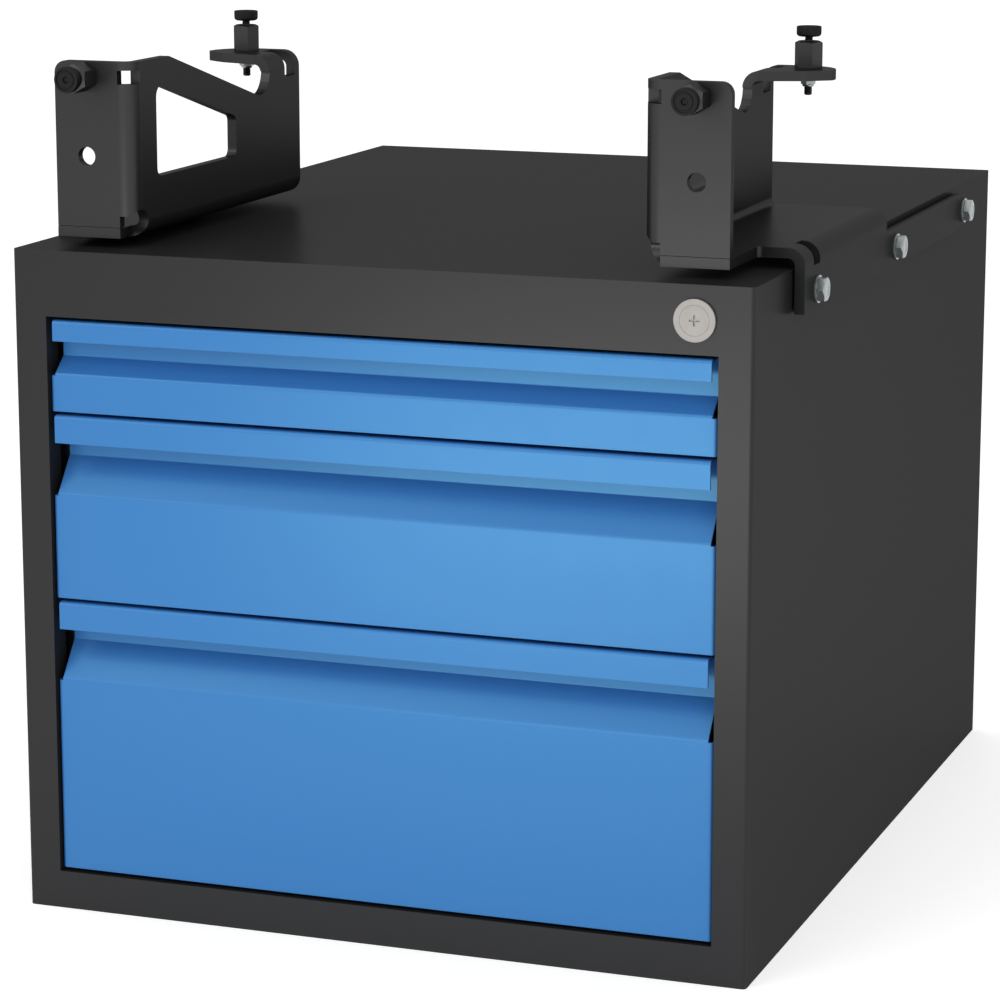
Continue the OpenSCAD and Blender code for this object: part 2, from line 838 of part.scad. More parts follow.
module bracket_bolts() {
    head_x = leg_out + washer_t;
    color(zinc_colour) from_front() at_bolts() {
        translate([head_x, 0, 0]) rotate([0, 90, 0]) linear_extrude(bolt_head_h) hexagon(bolt_af);
        rod_x(case_w / 2 - nut_body_l, head_x, 0, 0, bolt_d);
    }
}

module bracket_washers() {
    color(zinc_colour) from_front() at_bolts() difference() {
        rod_x(leg_out, leg_out + washer_t, 0, 0, washer_d);
        rod_x(leg_out - through, leg_out + washer_t + through, 0, 0, bolt_d + 2 * loose);
    }
}

module rivet_nuts() {
    color(zinc_colour) from_front() at_bolts() difference() {
        union() {
            rod_x(case_w / 2, leg_x, 0, 0, nut_flange_d);
            rod_x(case_w / 2 - nut_body_l, case_w / 2, 0, 0, nut_body_d);
        }
        rod_x(case_w / 2 - nut_body_l - through, leg_x + through, 0, 0, bolt_d + 2 * slide_play);
    }
}

module at_rear_foot(side) {
    on_side(side) translate([foot_x, foot_y, tab_top]) children();
}

module at_front_foot(side) {
    on_side(side) translate([foot_x, bracket_y, foot_z]) rotate([90, 0, 0]) rotate(30) children();
}

module at_feet() {
    for (side = [left, right]) {
        at_rear_foot(side) children();
        at_front_foot(side) children();
    }
}

module foot_sleeve() {
    corner_r = sleeve_af / cos(30) / 2;
    difference() {
        intersection() {
            linear_extrude(sleeve_l) hexagon(sleeve_af);
            rotate_extrude() polygon([
                [0, 0],
                [corner_r, 0],
                [corner_r, sleeve_l - sleeve_edge],
                [corner_r - 2 * sleeve_edge, sleeve_l],
                [0, sleeve_l]
            ]);
        }
        translate([0, 0, -through]) cylinder(d = stud_d + 2 * run_play, h = sleeve_l + 2 * through);
    }
}

module foot_sleeves() {
    color(black_colour) from_front() at_feet() foot_sleeve();
}

module foot_locknuts() {
    collar_h = 1.5;
    color(zinc_colour) from_front() at_feet() translate([0, 0, -plate_t]) difference() {
        union() {
            translate([0, 0, -locknut_h + collar_h]) linear_extrude(locknut_h - collar_h) hexagon(locknut_af);
            translate([0, 0, -locknut_h]) cylinder(d = locknut_af - 1, h = collar_h);
        }
        translate([0, 0, -locknut_h - through]) cylinder(d = stud_d + 2 * run_play, h = locknut_h + 2 * through);
    }
}

module foot_stud() {
    tip = 0.7;
    color(black_colour) rotate_extrude() polygon([
        [0, stud_start],
        [stud_d / 2 - tip, stud_start],
        [stud_d / 2, stud_start + tip],
        [stud_d / 2, pad_z + stud_seat],
        [0, pad_z + stud_seat]
    ]);
}

// Rubber pad with a rounded underside and a raised ring on its face
module foot_pad() {
    ring_r = pad_d / 2 - 1.5;
    ring_h = 0.5;
    dimple_r = 1.5;
    under_r = 2;
    face = pad_z + pad_t;
    profile = rounded([
        [0, pad_z, 0],
        [pad_d / 2, pad_z, under_r],
        [pad_d / 2, face - ring_h, 0.6],
        [ring_r, face - ring_h, 0],
        [ring_r, face, 0],
        [dimple_r, face, 0],
        [dimple_r, face - ring_h, 0],
        [0, face - ring_h, 0]
    ]);
    color(black_colour) difference() {
        rotate_extrude() polygon(profile);
        translate([0, 0, pad_z - through]) cylinder(d = stud_d, h = stud_seat + through);
    }
}

// Side view of a drawer front, from the lip round the groove to the fold below
function front_path(n) = let (top = front_top(n)) [
    [front_sheet, top - lip_of(n), 0],
    [front_sheet, top - front_sheet, bend_in],
    [groove_of(n), top - front_sheet, bend_in],
    [groove_of(n), top - wall_of(n), bend_in],
    [panel_recess, top - slope_of(n), front_bend],
    [panel_recess, front_bottom(n), front_bend],
    [panel_recess + front_fold, front_bottom(n), 0]
];

module front_panel(n) {
    path = rounded([
        [-panel_hw, panel_recess + side_fold, 0],
        [-panel_hw, panel_recess, front_bend],
        [panel_hw, panel_recess, front_bend],
        [panel_hw, panel_recess + side_fold, 0]
    ]);
    height = front_h(n) - slope_of(n) - front_bend / 2;
    translate([0, 0, front_bottom(n)]) linear_extrude(height) polygon(folded(path, front_sheet));
}

module at_joint_rivets(n) {
    reach = tray_hw - joint_rivet_side;
    for (k = [0 : joint_rivets - 1])
        translate([-reach + 2 * reach * k / (joint_rivets - 1), joint_rivet_y, front_bottom(n)]) children();
}

module joint_holes(n) {
    at_joint_rivets(n) translate([0, 0, -through])
        cylinder(d = rivet_d + loose, h = front_sheet + tray_sheet + 2 * through);
}

module drawer_front(n) {
    path = front_path(n);
    fold_hw = tray_hw + 4;
    panel_end = [panel_recess, front_bottom(n) + front_bend, 0];
    upper_path = [for (k = [0 : len(path) - 2]) k == len(path) - 2 ? panel_end : path[k]];
    color(front_colour) from_front() difference() {
        union() {
            along_x(-fold_hw, fold_hw) polygon(folded(rounded(path), front_sheet));
            along_x(-lip_hw, lip_hw) polygon(folded(rounded(upper_path), front_sheet));
            front_panel(n);
        }
        joint_holes(n);
    }
}

module drawer_tray(n) {
    color(casing_colour) from_front() difference() {
        union() {
            difference() {
                box([-tray_hw, tray_y(n), tray_z(n)], [tray_hw, tray_back, tray_top(n)]);
                box(
                    [-tray_hw + tray_sheet, tray_y(n) + tray_sheet, tray_z(n) + tray_sheet],
                    [tray_hw - tray_sheet, tray_back - tray_sheet, tray_top(n) + through]
                );
            }
            for (side = [left, right])
                on_side(side) box(
                    [tray_hw - tray_sheet, rim_y, tray_top(n) - tray_sheet],
                    [tray_hw + tray_rim, tray_back, tray_top(n)]
                );
        }
        joint_holes(n);
    }
}

module drawer_catch(n) {
    color(zinc_colour) from_front() box(
        [tray_hw, catch_y, catch_z(n) - catch_h / 2],
        [catch_x, catch_y + catch_t, catch_z(n) + catch_h / 2]
    );
}

module front_rivets(n) {
    grip = front_sheet + tray_sheet;
    color(zinc_colour) from_front() at_joint_rivets(n) {
        translate([0, 0, grip]) cylinder(d = joint_head_d, h = joint_head_h);
        cylinder(d = rivet_d, h = grip);
        translate([0, 0, -joint_tail_h]) cylinder(d = joint_tail_d, h = joint_tail_h);
    }
}

// A rail whose web lies at the given x, with its flanges reaching inward to their tips
module rail_outward(n, web, tip, half_h) {
    along_y(runner_y, runner_y + runner_l) translate([0, runner_z(n)]) polygon(folded(rounded([
        [tip, -half_h, 0],
        [web, -half_h, rail_bend],
        [web, half_h, rail_bend],
        [tip, half_h, 0]
    ]), runner_sheet));
}

module outer_rails(n) {
    color(zinc_colour) from_front() for (side = [left, right]) on_side(side) difference() {
        rail_outward(n, web_x, outer_tip_x, runner_h / 2);
        for (y = [upright_y, rear_upright_y])
            rod_x(web_x - runner_sheet - through, web_x + through, y + upright_w / 2, runner_z(n), rivet_d + loose);
    }
}

module middle_rail(n, side) {
    color(zinc_colour) from_front() on_side(side) rail_outward(n, middle_web_x, middle_tip_x, middle_hh);
}

module inner_rail(n, side) {
    color(zinc_colour) from_front() on_side(side) along_y(runner_y, runner_y + runner_l)
        translate([0, runner_z(n)]) polygon(folded(rounded([
            [inner_tip_x, inner_hh, 0],
            [tray_hw, inner_hh, rail_bend],
            [tray_hw, -inner_hh, rail_bend],
            [inner_tip_x, -inner_hh, 0]
        ]), runner_sheet));
}

// Ball cages: outer ones at the rear end of the middle rail, inner ones at its front end
module ball_cages(n) {
    outer_y = runner_y + runner_l - cage_end - cage_l;
    inner_y = runner_y + cage_end;
    color(plastic_colour) from_front() for (side = [left, right], up = [0, 1])
        on_side(side) translate([0, 0, runner_z(n)]) mirror([0, 0, up]) {
            translate([outer_tip_x + 0.5, outer_y, middle_hh]) cube([cage_w, cage_l, cage_h]);
            translate([middle_tip_x + 0.5, inner_y, middle_hh - runner_sheet - cage_h])
                cube([cage_w, cage_l, cage_h]);
        }
}

casing_shell();
bottom_panel();
back_panel();
back_rivets();
uprights(upright_y);  // uprights_front
uprights(rear_upright_y);  // uprights_rear
runner_screws();
lock_housing();
lock_nut();
lock_cylinder();
lock_cam();
lock_bar();
lock_fingers();
bar_guides();
bracket(left);  // bracket_left
bracket(right);  // bracket_right
bracket_bolts();
bracket_washers();
rivet_nuts();
foot_sleeves();
foot_locknuts();
for (place = rear_places) {
    from_front() at_rear_foot(place[1]) foot_stud();
    from_front() at_rear_foot(place[1]) foot_pad();
}
for (place = front_places) {
    from_front() at_front_foot(place[1]) foot_stud();
    from_front() at_front_foot(place[1]) foot_pad();
}
for (n = [1 : 3]) {
    drawer_front(n);
    drawer_tray(n);
    front_rivets(n);
    drawer_catch(n);
    ball_cages(n);
    outer_rails(n);
    middle_rail(n, left);
    middle_rail(n, right);
    inner_rail(n, left);
    inner_rail(n, right);
}
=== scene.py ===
import math

import bmesh
import bpy
from bpy.props import FloatProperty, FloatVectorProperty, IntProperty, PointerProperty
from bpy.types import Operator, Panel, PropertyGroup
from mathutils import Matrix, Vector


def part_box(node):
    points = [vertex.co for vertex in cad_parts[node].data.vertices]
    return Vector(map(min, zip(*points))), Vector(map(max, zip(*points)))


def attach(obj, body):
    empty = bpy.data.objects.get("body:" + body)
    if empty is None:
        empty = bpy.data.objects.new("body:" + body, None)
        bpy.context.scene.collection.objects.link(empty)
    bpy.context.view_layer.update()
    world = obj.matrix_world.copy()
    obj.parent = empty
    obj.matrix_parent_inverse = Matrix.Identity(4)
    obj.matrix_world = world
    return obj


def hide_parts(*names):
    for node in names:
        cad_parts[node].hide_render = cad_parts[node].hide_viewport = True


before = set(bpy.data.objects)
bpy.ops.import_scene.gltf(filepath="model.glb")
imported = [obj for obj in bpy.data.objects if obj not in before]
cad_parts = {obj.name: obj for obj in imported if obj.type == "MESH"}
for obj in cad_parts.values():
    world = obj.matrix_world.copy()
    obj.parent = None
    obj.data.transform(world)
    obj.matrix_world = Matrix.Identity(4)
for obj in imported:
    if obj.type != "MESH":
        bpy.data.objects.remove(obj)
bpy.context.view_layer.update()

bl_info = {
    "name": "Under-Table Drawer Unit",
    "version": (1, 0, 0),
    "blender": (4, 5, 0),
    "location": "3D View > Sidebar > Drawer Unit",
    "description": "Finishes a hanging three-drawer unit and sets it in a studio",
    "category": "Object",
}

MM = 0.001
STUD_TAIL = 16.6 * MM  # from a foot's seat down to the end of its stud
TRAY_SHEET = 1.2 * MM
RIVET_SHANK_R = 2.0 * MM
RIVET_TAIL_R = 2.7 * MM
ON_AXIS = 1e-7  # rings with no larger radius are a single point
COAT_IOR = 1.7
COAT_EDGE_SHINE = 0.2  # how much smoother the worn edges of a coat are
METAL_EDGE_SHINE = 0.12
METAL_GRAIN = 0.004 * MM
EDGE_SAMPLES = 4
SHARP_ANGLE = math.radians(32)  # edges bent more than this stay sharp
DRAWERS = (1, 2, 3)
FEET = ("rear_left", "rear_right", "front_left", "front_right")
WHITE = (1.0, 1.0, 1.0, 1.0)
LAMPS = {  # place, aim, and width and height, in metres
    "key": ((1.25, -1.75, 1.05), (0.1, -0.1, 0.2), (1.1, 1.1)),
    "low": ((-0.1, -1.25, 0.105), (0.19, -0.29, 0.28), (0.6, 0.2)),
    "fill": ((-0.7, -1.5, 1.3), (0.0, -0.25, 0.25), (1.2, 1.2)),
    "top": ((0.1, 0.2, 2.2), (0.0, 0.0, 0.3), (1.5, 1.5)),
}


def shade(red, green, blue):
    """Scene colour of a screen colour given as 0 to 255."""
    parts = [value / 255 for value in (red, green, blue)]
    return tuple(p / 12.92 if p <= 0.04045 else ((p + 0.055) / 1.055) ** 2.4 for p in parts)


def colour_of(name, words, red, green, blue):
    """A colour setting, its default given as 0 to 255."""
    return FloatVectorProperty(name=name, description=words, subtype="COLOR", size=3, min=0.0, max=1.0,
                               default=shade(red, green, blue))


def length_of(name, words, millimetres, low=0.0, high=1000.0):
    """A length setting, its default and limits given in millimetres."""
    return FloatProperty(name=name, description=words, default=millimetres * MM, min=low * MM, max=high * MM,
                         precision=5, subtype="DISTANCE", unit="LENGTH")


def share_of(name, words, value, high=1.0):
    """A setting from 0 up to a limit."""
    return FloatProperty(name=name, description=words, default=value, min=0.0, max=high, subtype="FACTOR")


# ---------------------------------------------------------------- settings


class DrawerUnitFinishes(PropertyGroup):
    """Colours and surfaces"""
    casing_colour: colour_of("Casing", "Powder coat of casing and trays", 33, 33, 34)
    front_colour: colour_of("Drawer fronts", "Powder coat of the drawer fronts", 51, 109, 176)
    bracket_colour: colour_of("Brackets", "Powder coat of the two brackets", 27, 27, 28)
    zinc_colour: colour_of("Zinc", "Zinc plate on bolts, nuts and washers", 164, 170, 170)
    rail_colour: colour_of("Rails", "Galvanised steel of runners and uprights", 170, 174, 176)
    nickel_colour: colour_of("Nickel", "Satin nickel of the lock", 147, 143, 138)
    black_colour: colour_of("Black steel", "Blackened steel of sleeves and studs", 24, 24, 25)
    rubber_colour: colour_of("Rubber", "Rubber of the foot pads", 14, 14, 15)
    cage_colour: colour_of("Cages", "Natural plastic of the ball cages", 208, 208, 200)
    coat_roughness: share_of("Coat roughness", "Roughness of the powder coats", 0.32)
    grain_size: length_of("Grain size", "Size of the powder coat's grain", 0.55, 0.1, 5.0)
    grain_depth: length_of("Grain depth", "Depth of the powder coat's grain", 0.02, 0.0, 1.0)
    edge_width: length_of("Edge width", "How far edges are softened", 0.5, 0.05, 3.0)
    # edge wear and painted edge highlight: how much paler colour the coats carry along their edges
    edge_wear_and_highlight: share_of("Edge wear and highlight", "How strongly the coats thin out along edges", 0.35)


class DrawerUnitDetails(PropertyGroup):
    """Sizes of the small parts that the scene builds"""
    bolt_head_h: length_of("Bolt head height", "Height of the bracket bolts' heads", 4.6, 1.0, 10.0)
    bolt_shank_d: length_of("Bolt shank", "Diameter of the bracket bolts' shanks", 8.0, 2.0, 12.0)
    bolt_flats: length_of("Bolt flats", "Width of the bolt heads across their flats", 13.0, 5.0, 20.0)
    foot_plate_t: length_of("Plate under feet", "Thickness of the plate that the feet go through", 6.0, 1.0, 10.0)
    foot_nut_h: length_of("Foot nut height", "Height of the feet's locking nuts", 5.5, 2.0, 10.0)
    foot_nut_flats: length_of("Foot nut flats", "Width of the locking nuts across their flats", 8.0, 4.0, 14.0)
    stud_d: length_of("Stud", "Diameter of the feet's studs", 5.0, 2.0, 10.0)
    thread_pitch: length_of("Thread pitch", "Pitch of the thread on the studs", 0.8, 0.3, 2.0)
    sleeve_l: length_of("Sleeve", "Length of the feet's hexagon sleeves", 16.0, 5.0, 40.0)
    ball_pitch: length_of("Ball pitch", "Distance from ball to ball in the cages", 8.0, 4.0, 30.0)
    turn_steps: IntProperty(name="Steps", description="Points round each turned piece", default=48, min=12, max=96)


class DrawerUnitStage(PropertyGroup):
    """Camera, lights and floor"""
    azimuth: FloatProperty(name="Azimuth", description="Turn of the camera to the right of the front",
                           default=math.radians(20.013), subtype="ANGLE", unit="ROTATION")
    elevation: FloatProperty(name="Elevation", description="Height of the camera above the horizon",
                             default=math.radians(11.951), subtype="ANGLE", unit="ROTATION")
    distance: length_of("Distance", "Camera to the point it looks at", 2014.421, 100.0, 10000.0)
    aim: FloatVectorProperty(name="Aim", description="Point that the camera looks at", size=3,
                             default=(0.0776, -0.29, 0.271922), subtype="TRANSLATION", unit="LENGTH")
    lens: FloatProperty(name="Lens", description="Focal length in millimetres on a 36 mm sensor",
                        default=128.966, min=10.0, max=500.0)
    floor_colour: colour_of("Floor", "Colour of the studio floor", 236, 236, 236)
    floor_glow: share_of("Floor glow", "Light that the camera and reflections see on the floor", 0.48)
    world_level: share_of("Surrounding light", "Level of the light from all round", 0.72, 4.0)
    key_power: FloatProperty(name="Key light", description="Power of the large light on the right",
                             default=5.0, min=0.0, subtype="POWER", unit="POWER")
    low_power: FloatProperty(name="Low light", description="Power of the low light that shines on the fronts",
                             default=2.0, min=0.0, subtype="POWER", unit="POWER")
    fill_power: FloatProperty(name="Fill light", description="Power of the light above the front",
                              default=7.0, min=0.0, subtype="POWER", unit="POWER")
    top_power: FloatProperty(name="Top light", description="Power of the light from above",
                             default=3.0, min=0.0, subtype="POWER", unit="POWER")


# ---------------------------------------------------------------- node building


def add(tree, kind, place, inputs=None, **settings):
    """A node of that kind at a place in the tree, its settings and input values given by name."""
    made = tree.nodes.new(kind)
    made.location = place
    for name, value in settings.items():
        setattr(made, name, value)
    for name, value in (inputs or {}).items():
        if isinstance(value, bpy.types.NodeSocket):
            tree.links.new(value, made.inputs[name])
        else:
            made.inputs[name].default_value = value
    return made


def sums(tree, place, operation, first, second):
    """Result of a Math node on two values or sockets."""
    return add(tree, "ShaderNodeMath", place, {0: first, 1: second}, operation=operation).outputs[0]


def start_group(name, inputs, outputs):
    """An empty node group with named sockets, given as (name, type, default)."""
    tree = bpy.data.node_groups.new(name, "ShaderNodeTree")
    for label, kind, value in inputs:
        tree.interface.new_socket(label, in_out="INPUT", socket_type="NodeSocket" + kind).default_value = value
    for label, kind in outputs:
        tree.interface.new_socket(label, in_out="OUTPUT", socket_type="NodeSocket" + kind)
    return tree, tree.nodes.new("NodeGroupInput").outputs, tree.nodes.new("NodeGroupOutput")


def powder_grain():
    """Fine sprayed grain, slow drift of shade and of gloss."""
    tree, given, out = start_group("Powder Grain", [
        ("Colour", "Color", (0.1, 0.1, 0.1, 1.0)), ("Shade Drift", "Float", 0.06), ("Roughness", "Float", 0.45),
        ("Gloss Drift", "Float", 0.08), ("Grain Size", "Float", 0.0006)],
        [("Colour", "Color"), ("Roughness", "Float"), ("Height", "Float")])
    where = add(tree, "ShaderNodeTexCoord", (-900, 0)).outputs["Object"]
    scale = sums(tree, (-900, -250), "DIVIDE", 1.0, given["Grain Size"])
    fine = add(tree, "ShaderNodeTexNoise", (-650, 200), {"Vector": where, "Scale": scale, "Detail": 2.0}).outputs[0]
    slow = add(tree, "ShaderNodeTexNoise", (-650, -50), {"Vector": where, "Scale": 9.0, "Detail": 3.0}).outputs[0]
    patch = add(tree, "ShaderNodeTexNoise", (-650, -300), {"Vector": where, "Scale": 55.0, "Detail": 4.0}).outputs[0]
    mixed = sums(tree, (-420, 100), "ADD", fine, slow)
    drift = sums(tree, (-250, 100), "MULTIPLY", sums(tree, (-330, 100), "SUBTRACT", mixed, 1.0), given["Shade Drift"])
    value = sums(tree, (-100, 100), "ADD", drift, 1.0)
    colour = add(tree, "ShaderNodeHueSaturation", (80, 100), {"Color": given["Colour"], "Value": value}).outputs[0]
    gloss = sums(tree, (-250, -200), "MULTIPLY", sums(tree, (-330, -200), "SUBTRACT", patch, 0.5),
                 given["Gloss Drift"])
    tree.links.new(colour, out.inputs["Colour"])
    tree.links.new(sums(tree, (80, -200), "ADD", gloss, given["Roughness"]), out.inputs["Roughness"])
    tree.links.new(fine, out.inputs["Height"])
    return tree


def edge_wear_and_highlight():
    """Mask that is high along outer edges and broken up by noise. The coats use it for a paler edge line that is
    partly wear and partly a painted highlight.
    """
    tree, given, out = start_group("Edge Wear", [
        ("Width", "Float", 0.0005), ("Breakup Size", "Float", 0.01)], [("Mask", "Float")])
    rounded = add(tree, "ShaderNodeBevel", (-700, 100), {"Radius": given["Width"]}, samples=EDGE_SAMPLES).outputs[0]
    plain = add(tree, "ShaderNodeNewGeometry", (-700, -100)).outputs["Normal"]
    along = add(tree, "ShaderNodeVectorMath", (-500, 50), {0: rounded, 1: plain},
                operation="DOT_PRODUCT").outputs["Value"]
    away = sums(tree, (-330, 50), "SUBTRACT", 1.0, along)
    steepness = 5.0
    strong = add(tree, "ShaderNodeMath", (-170, 50), {0: away, 1: steepness}, operation="MULTIPLY",
                 use_clamp=True).outputs[0]
    where = add(tree, "ShaderNodeTexCoord", (-900, -300)).outputs["Object"]
    scale = sums(tree, (-700, -350), "DIVIDE", 1.0, given["Breakup Size"])
    noise = add(tree, "ShaderNodeTexNoise", (-500, -300), {"Vector": where, "Scale": scale, "Detail": 3.0}).outputs[0]
    broken = add(tree, "ShaderNodeMapRange", (-300, -300), {
        "Value": noise, "From Min": 0.35, "From Max": 0.65, "To Min": 0.55, "To Max": 1.0}).outputs[0]
    tree.links.new(sums(tree, (0, 0), "MULTIPLY", strong, broken), out.inputs["Mask"])
    return tree


def zinc_plate():
    """Plated or galvanised steel: crystals, fine drawn lines and dull patches."""
    tree, given, out = start_group("Zinc Plate", [
        ("Colour", "Color", (0.5, 0.5, 0.5, 1.0)), ("Dull Colour", "Color", (0.3, 0.3, 0.3, 1.0)),
        ("Roughness", "Float", 0.3), ("Crystal Size", "Float", 0.004), ("Crystal Share", "Float", 0.3)],
        [("Colour", "Color"), ("Roughness", "Float"), ("Height", "Float")])
    where = add(tree, "ShaderNodeTexCoord", (-900, 0)).outputs["Object"]
    scale = sums(tree, (-900, -250), "DIVIDE", 1.0, given["Crystal Size"])
    cells = add(tree, "ShaderNodeTexVoronoi", (-650, 200), {"Vector": where, "Scale": scale}).outputs["Color"]
    cell = add(tree, "ShaderNodeSeparateColor", (-450, 200), {"Color": cells}).outputs[0]
    patch = add(tree, "ShaderNodeTexNoise", (-650, -50), {"Vector": where, "Scale": 60.0, "Detail": 4.0}).outputs[0]
    fine = add(tree, "ShaderNodeTexNoise", (-650, -300), {"Vector": where, "Scale": 2500.0, "Detail": 2.0}).outputs[0]
    crystals = sums(tree, (-280, 200), "MULTIPLY", cell, given["Crystal Share"])
    rest = sums(tree, (-280, 0), "SUBTRACT", 1.0, given["Crystal Share"])
    blend = sums(tree, (-100, 100), "ADD", crystals, sums(tree, (-190, 0), "MULTIPLY", patch, rest))
    colour = add(tree, "ShaderNodeMix", (100, 150), {
        "Factor": blend, "A": given["Dull Colour"], "B": given["Colour"]}, data_type="RGBA").outputs["Result"]
    swing = -0.18  # bright crystals are smoother than dull ones
    spread = sums(tree, (-100, -150), "MULTIPLY", sums(tree, (-190, -150), "SUBTRACT", blend, 0.5), swing)
    tree.links.new(colour, out.inputs["Colour"])
    tree.links.new(sums(tree, (100, -150), "ADD", spread, given["Roughness"]), out.inputs["Roughness"])
    tree.links.new(fine, out.inputs["Height"])
    return tree


def turned_marks():
    """Fine rings round an axis along Y, as a lathe and a polishing wheel leave them."""
    tree, given, out = start_group("Turned Marks", [
        ("Centre", "Vector", (0.0, 0.0, 0.0)), ("Ring Width", "Float", 0.0002), ("Roughness", "Float", 0.3)],
        [("Height", "Float"), ("Roughness", "Float"), ("Shade", "Float")])
    where = add(tree, "ShaderNodeTexCoord", (-1000, 0)).outputs["Object"]
    off = add(tree, "ShaderNodeVectorMath", (-820, 0), {0: where, 1: given["Centre"]}, operation="SUBTRACT").outputs[0]
    flat = add(tree, "ShaderNodeVectorMath", (-660, 0), {0: off, 1: (1.0, 0.0, 1.0)}, operation="MULTIPLY").outputs[0]
    radius = add(tree, "ShaderNodeVectorMath", (-500, 0), {0: flat}, operation="LENGTH").outputs["Value"]
    scale = sums(tree, (-500, -200), "DIVIDE", 1.0, given["Ring Width"])
    rings = add(tree, "ShaderNodeTexNoise", (-320, 0), {"W": radius, "Scale": scale, "Detail": 2.0},
                noise_dimensions="1D").outputs[0]
    cloud = add(tree, "ShaderNodeTexNoise", (-320, -250), {"Vector": where, "Scale": 220.0, "Detail": 3.0}).outputs[0]
    swing, darkest, lift = 0.16, 0.92, 0.12
    rough = sums(tree, (0, -100), "MULTIPLY", sums(tree, (-120, -100), "SUBTRACT", cloud, 0.5), swing)
    lighter = sums(tree, (0, -250), "MULTIPLY", rings, lift)
    tree.links.new(rings, out.inputs["Height"])
    tree.links.new(sums(tree, (140, -100), "ADD", rough, given["Roughness"]), out.inputs["Roughness"])
    tree.links.new(sums(tree, (140, -250), "ADD", lighter, darkest), out.inputs["Shade"])
    return tree


EFFECTS = {"Powder Grain": powder_grain, "Edge Wear": edge_wear_and_highlight, "Zinc Plate": zinc_plate,
           "Turned Marks": turned_marks}


def seen_rays(tree):
    """1 for what the camera, a reflection or glass shows, and 0 for what lights the object."""
    path = add(tree, "ShaderNodeLightPath", (-900, 0)).outputs
    mirrored = sums(tree, (-750, -150), "MAXIMUM", path["Is Glossy Ray"], path["Is Transmission Ray"])
    return sums(tree, (-600, 0), "MAXIMUM", path["Is Camera Ray"], mirrored)


def use_effect(tree, name, place, inputs):
    """A shared effect placed in a material with its own values."""
    made = tree.nodes.new("ShaderNodeGroup")
    made.node_tree = bpy.data.node_groups.get(name) or EFFECTS[name]()
    made.location = place
    for label, value in inputs.items():
        made.inputs[label].default_value = value
    return made.outputs


def start_material(name):
    """A new material with its node tree and its shader."""
    made = bpy.data.materials.new(name)
    made.use_nodes = True
    tree = made.node_tree
    return made, tree, tree.nodes["Principled BSDF"]


def rounded_bump(tree, height, depth, width):
    """Normal of the softened edges with the fine surface on it."""
    soft = add(tree, "ShaderNodeBevel", (-500, -500), {"Radius": width}, samples=EDGE_SAMPLES).outputs[0]
    return add(tree, "ShaderNodeBump", (-250, -400), {
        "Strength": 1.0, "Distance": depth, "Height": height, "Normal": soft}).outputs[0]


def coat(name, colour, roughness, worn_and_lit_edge, wear_and_highlight_share, grain, depth, width, drift=0.06, sheen=0.32, slant_sheen=0.1,
         fade=(0.41, 0.82), gloss=0.0, gloss_colour=(1.0, 1.0, 1.0)):
    """A sprayed or moulded surface, with a sheen that fades at a slant, a coloured gloss below it and a lighter line
    along its edges that is partly wear and partly a painted edge highlight."""
    made, tree, shader = start_material(name)
    grainy = use_effect(tree, "Powder Grain", (-900, 200), {
        "Colour": (*colour, 1.0), "Shade Drift": drift, "Roughness": roughness, "Grain Size": grain})
    edges = use_effect(tree, "Edge Wear", (-900, -150), {"Width": width, "Breakup Size": 0.012})["Mask"]
    share = sums(tree, (-600, -150), "MULTIPLY", edges, wear_and_highlight_share)
    # painted edge highlight: the edge mask mixes a paler colour into the coat, partly wear and partly painted light
    blend = add(tree, "ShaderNodeMix", (-350, 200), {
        "Factor": share, "A": grainy["Colour"], "B": (*worn_and_lit_edge, 1.0)}, data_type="RGBA").outputs["Result"]
    smoother = sums(tree, (-350, -50), "SUBTRACT", grainy["Roughness"],
                    sums(tree, (-450, -100), "MULTIPLY", share, COAT_EDGE_SHINE))
    tree.links.new(blend, shader.inputs["Base Color"])
    tree.links.new(smoother, shader.inputs["Roughness"])
    tree.links.new(rounded_bump(tree, grainy["Height"], depth, width), shader.inputs["Normal"])
    slant = add(tree, "ShaderNodeLayerWeight", (-700, 450), {"Blend": 0.5}).outputs["Facing"]
    fading = add(tree, "ShaderNodeMapRange", (-350, 450), {
        "Value": slant, "From Min": fade[0], "From Max": fade[1], "To Min": sheen, "To Max": slant_sheen}).outputs[0]
    tree.links.new(fading, shader.inputs["Coat Weight"])
    shader.inputs["Coat Roughness"].default_value = roughness
    shader.inputs["Coat IOR"].default_value = COAT_IOR
    shader.inputs["Specular IOR Level"].default_value = gloss
    shader.inputs["Specular Tint"].default_value = (*gloss_colour, 1.0)
    return made


def plated(name, colour, dull, roughness, crystal, share, width):
    """Bare or plated metal, brighter and smoother along its edges."""
    made, tree, shader = start_material(name)
    metal = use_effect(tree, "Zinc Plate", (-900, 200), {
        "Colour": (*colour, 1.0), "Dull Colour": (*dull, 1.0), "Roughness": roughness, "Crystal Size": crystal,
        "Crystal Share": share})
    edges = use_effect(tree, "Edge Wear", (-900, -150), {"Width": width, "Breakup Size": 0.006})["Mask"]
    polished = sums(tree, (-450, -100), "MULTIPLY", edges, METAL_EDGE_SHINE)
    tree.links.new(metal["Colour"], shader.inputs["Base Color"])
    tree.links.new(sums(tree, (-300, -50), "SUBTRACT", metal["Roughness"], polished), shader.inputs["Roughness"])
    tree.links.new(rounded_bump(tree, metal["Height"], METAL_GRAIN, width), shader.inputs["Normal"])
    shader.inputs["Metallic"].default_value = 1.0
    return made


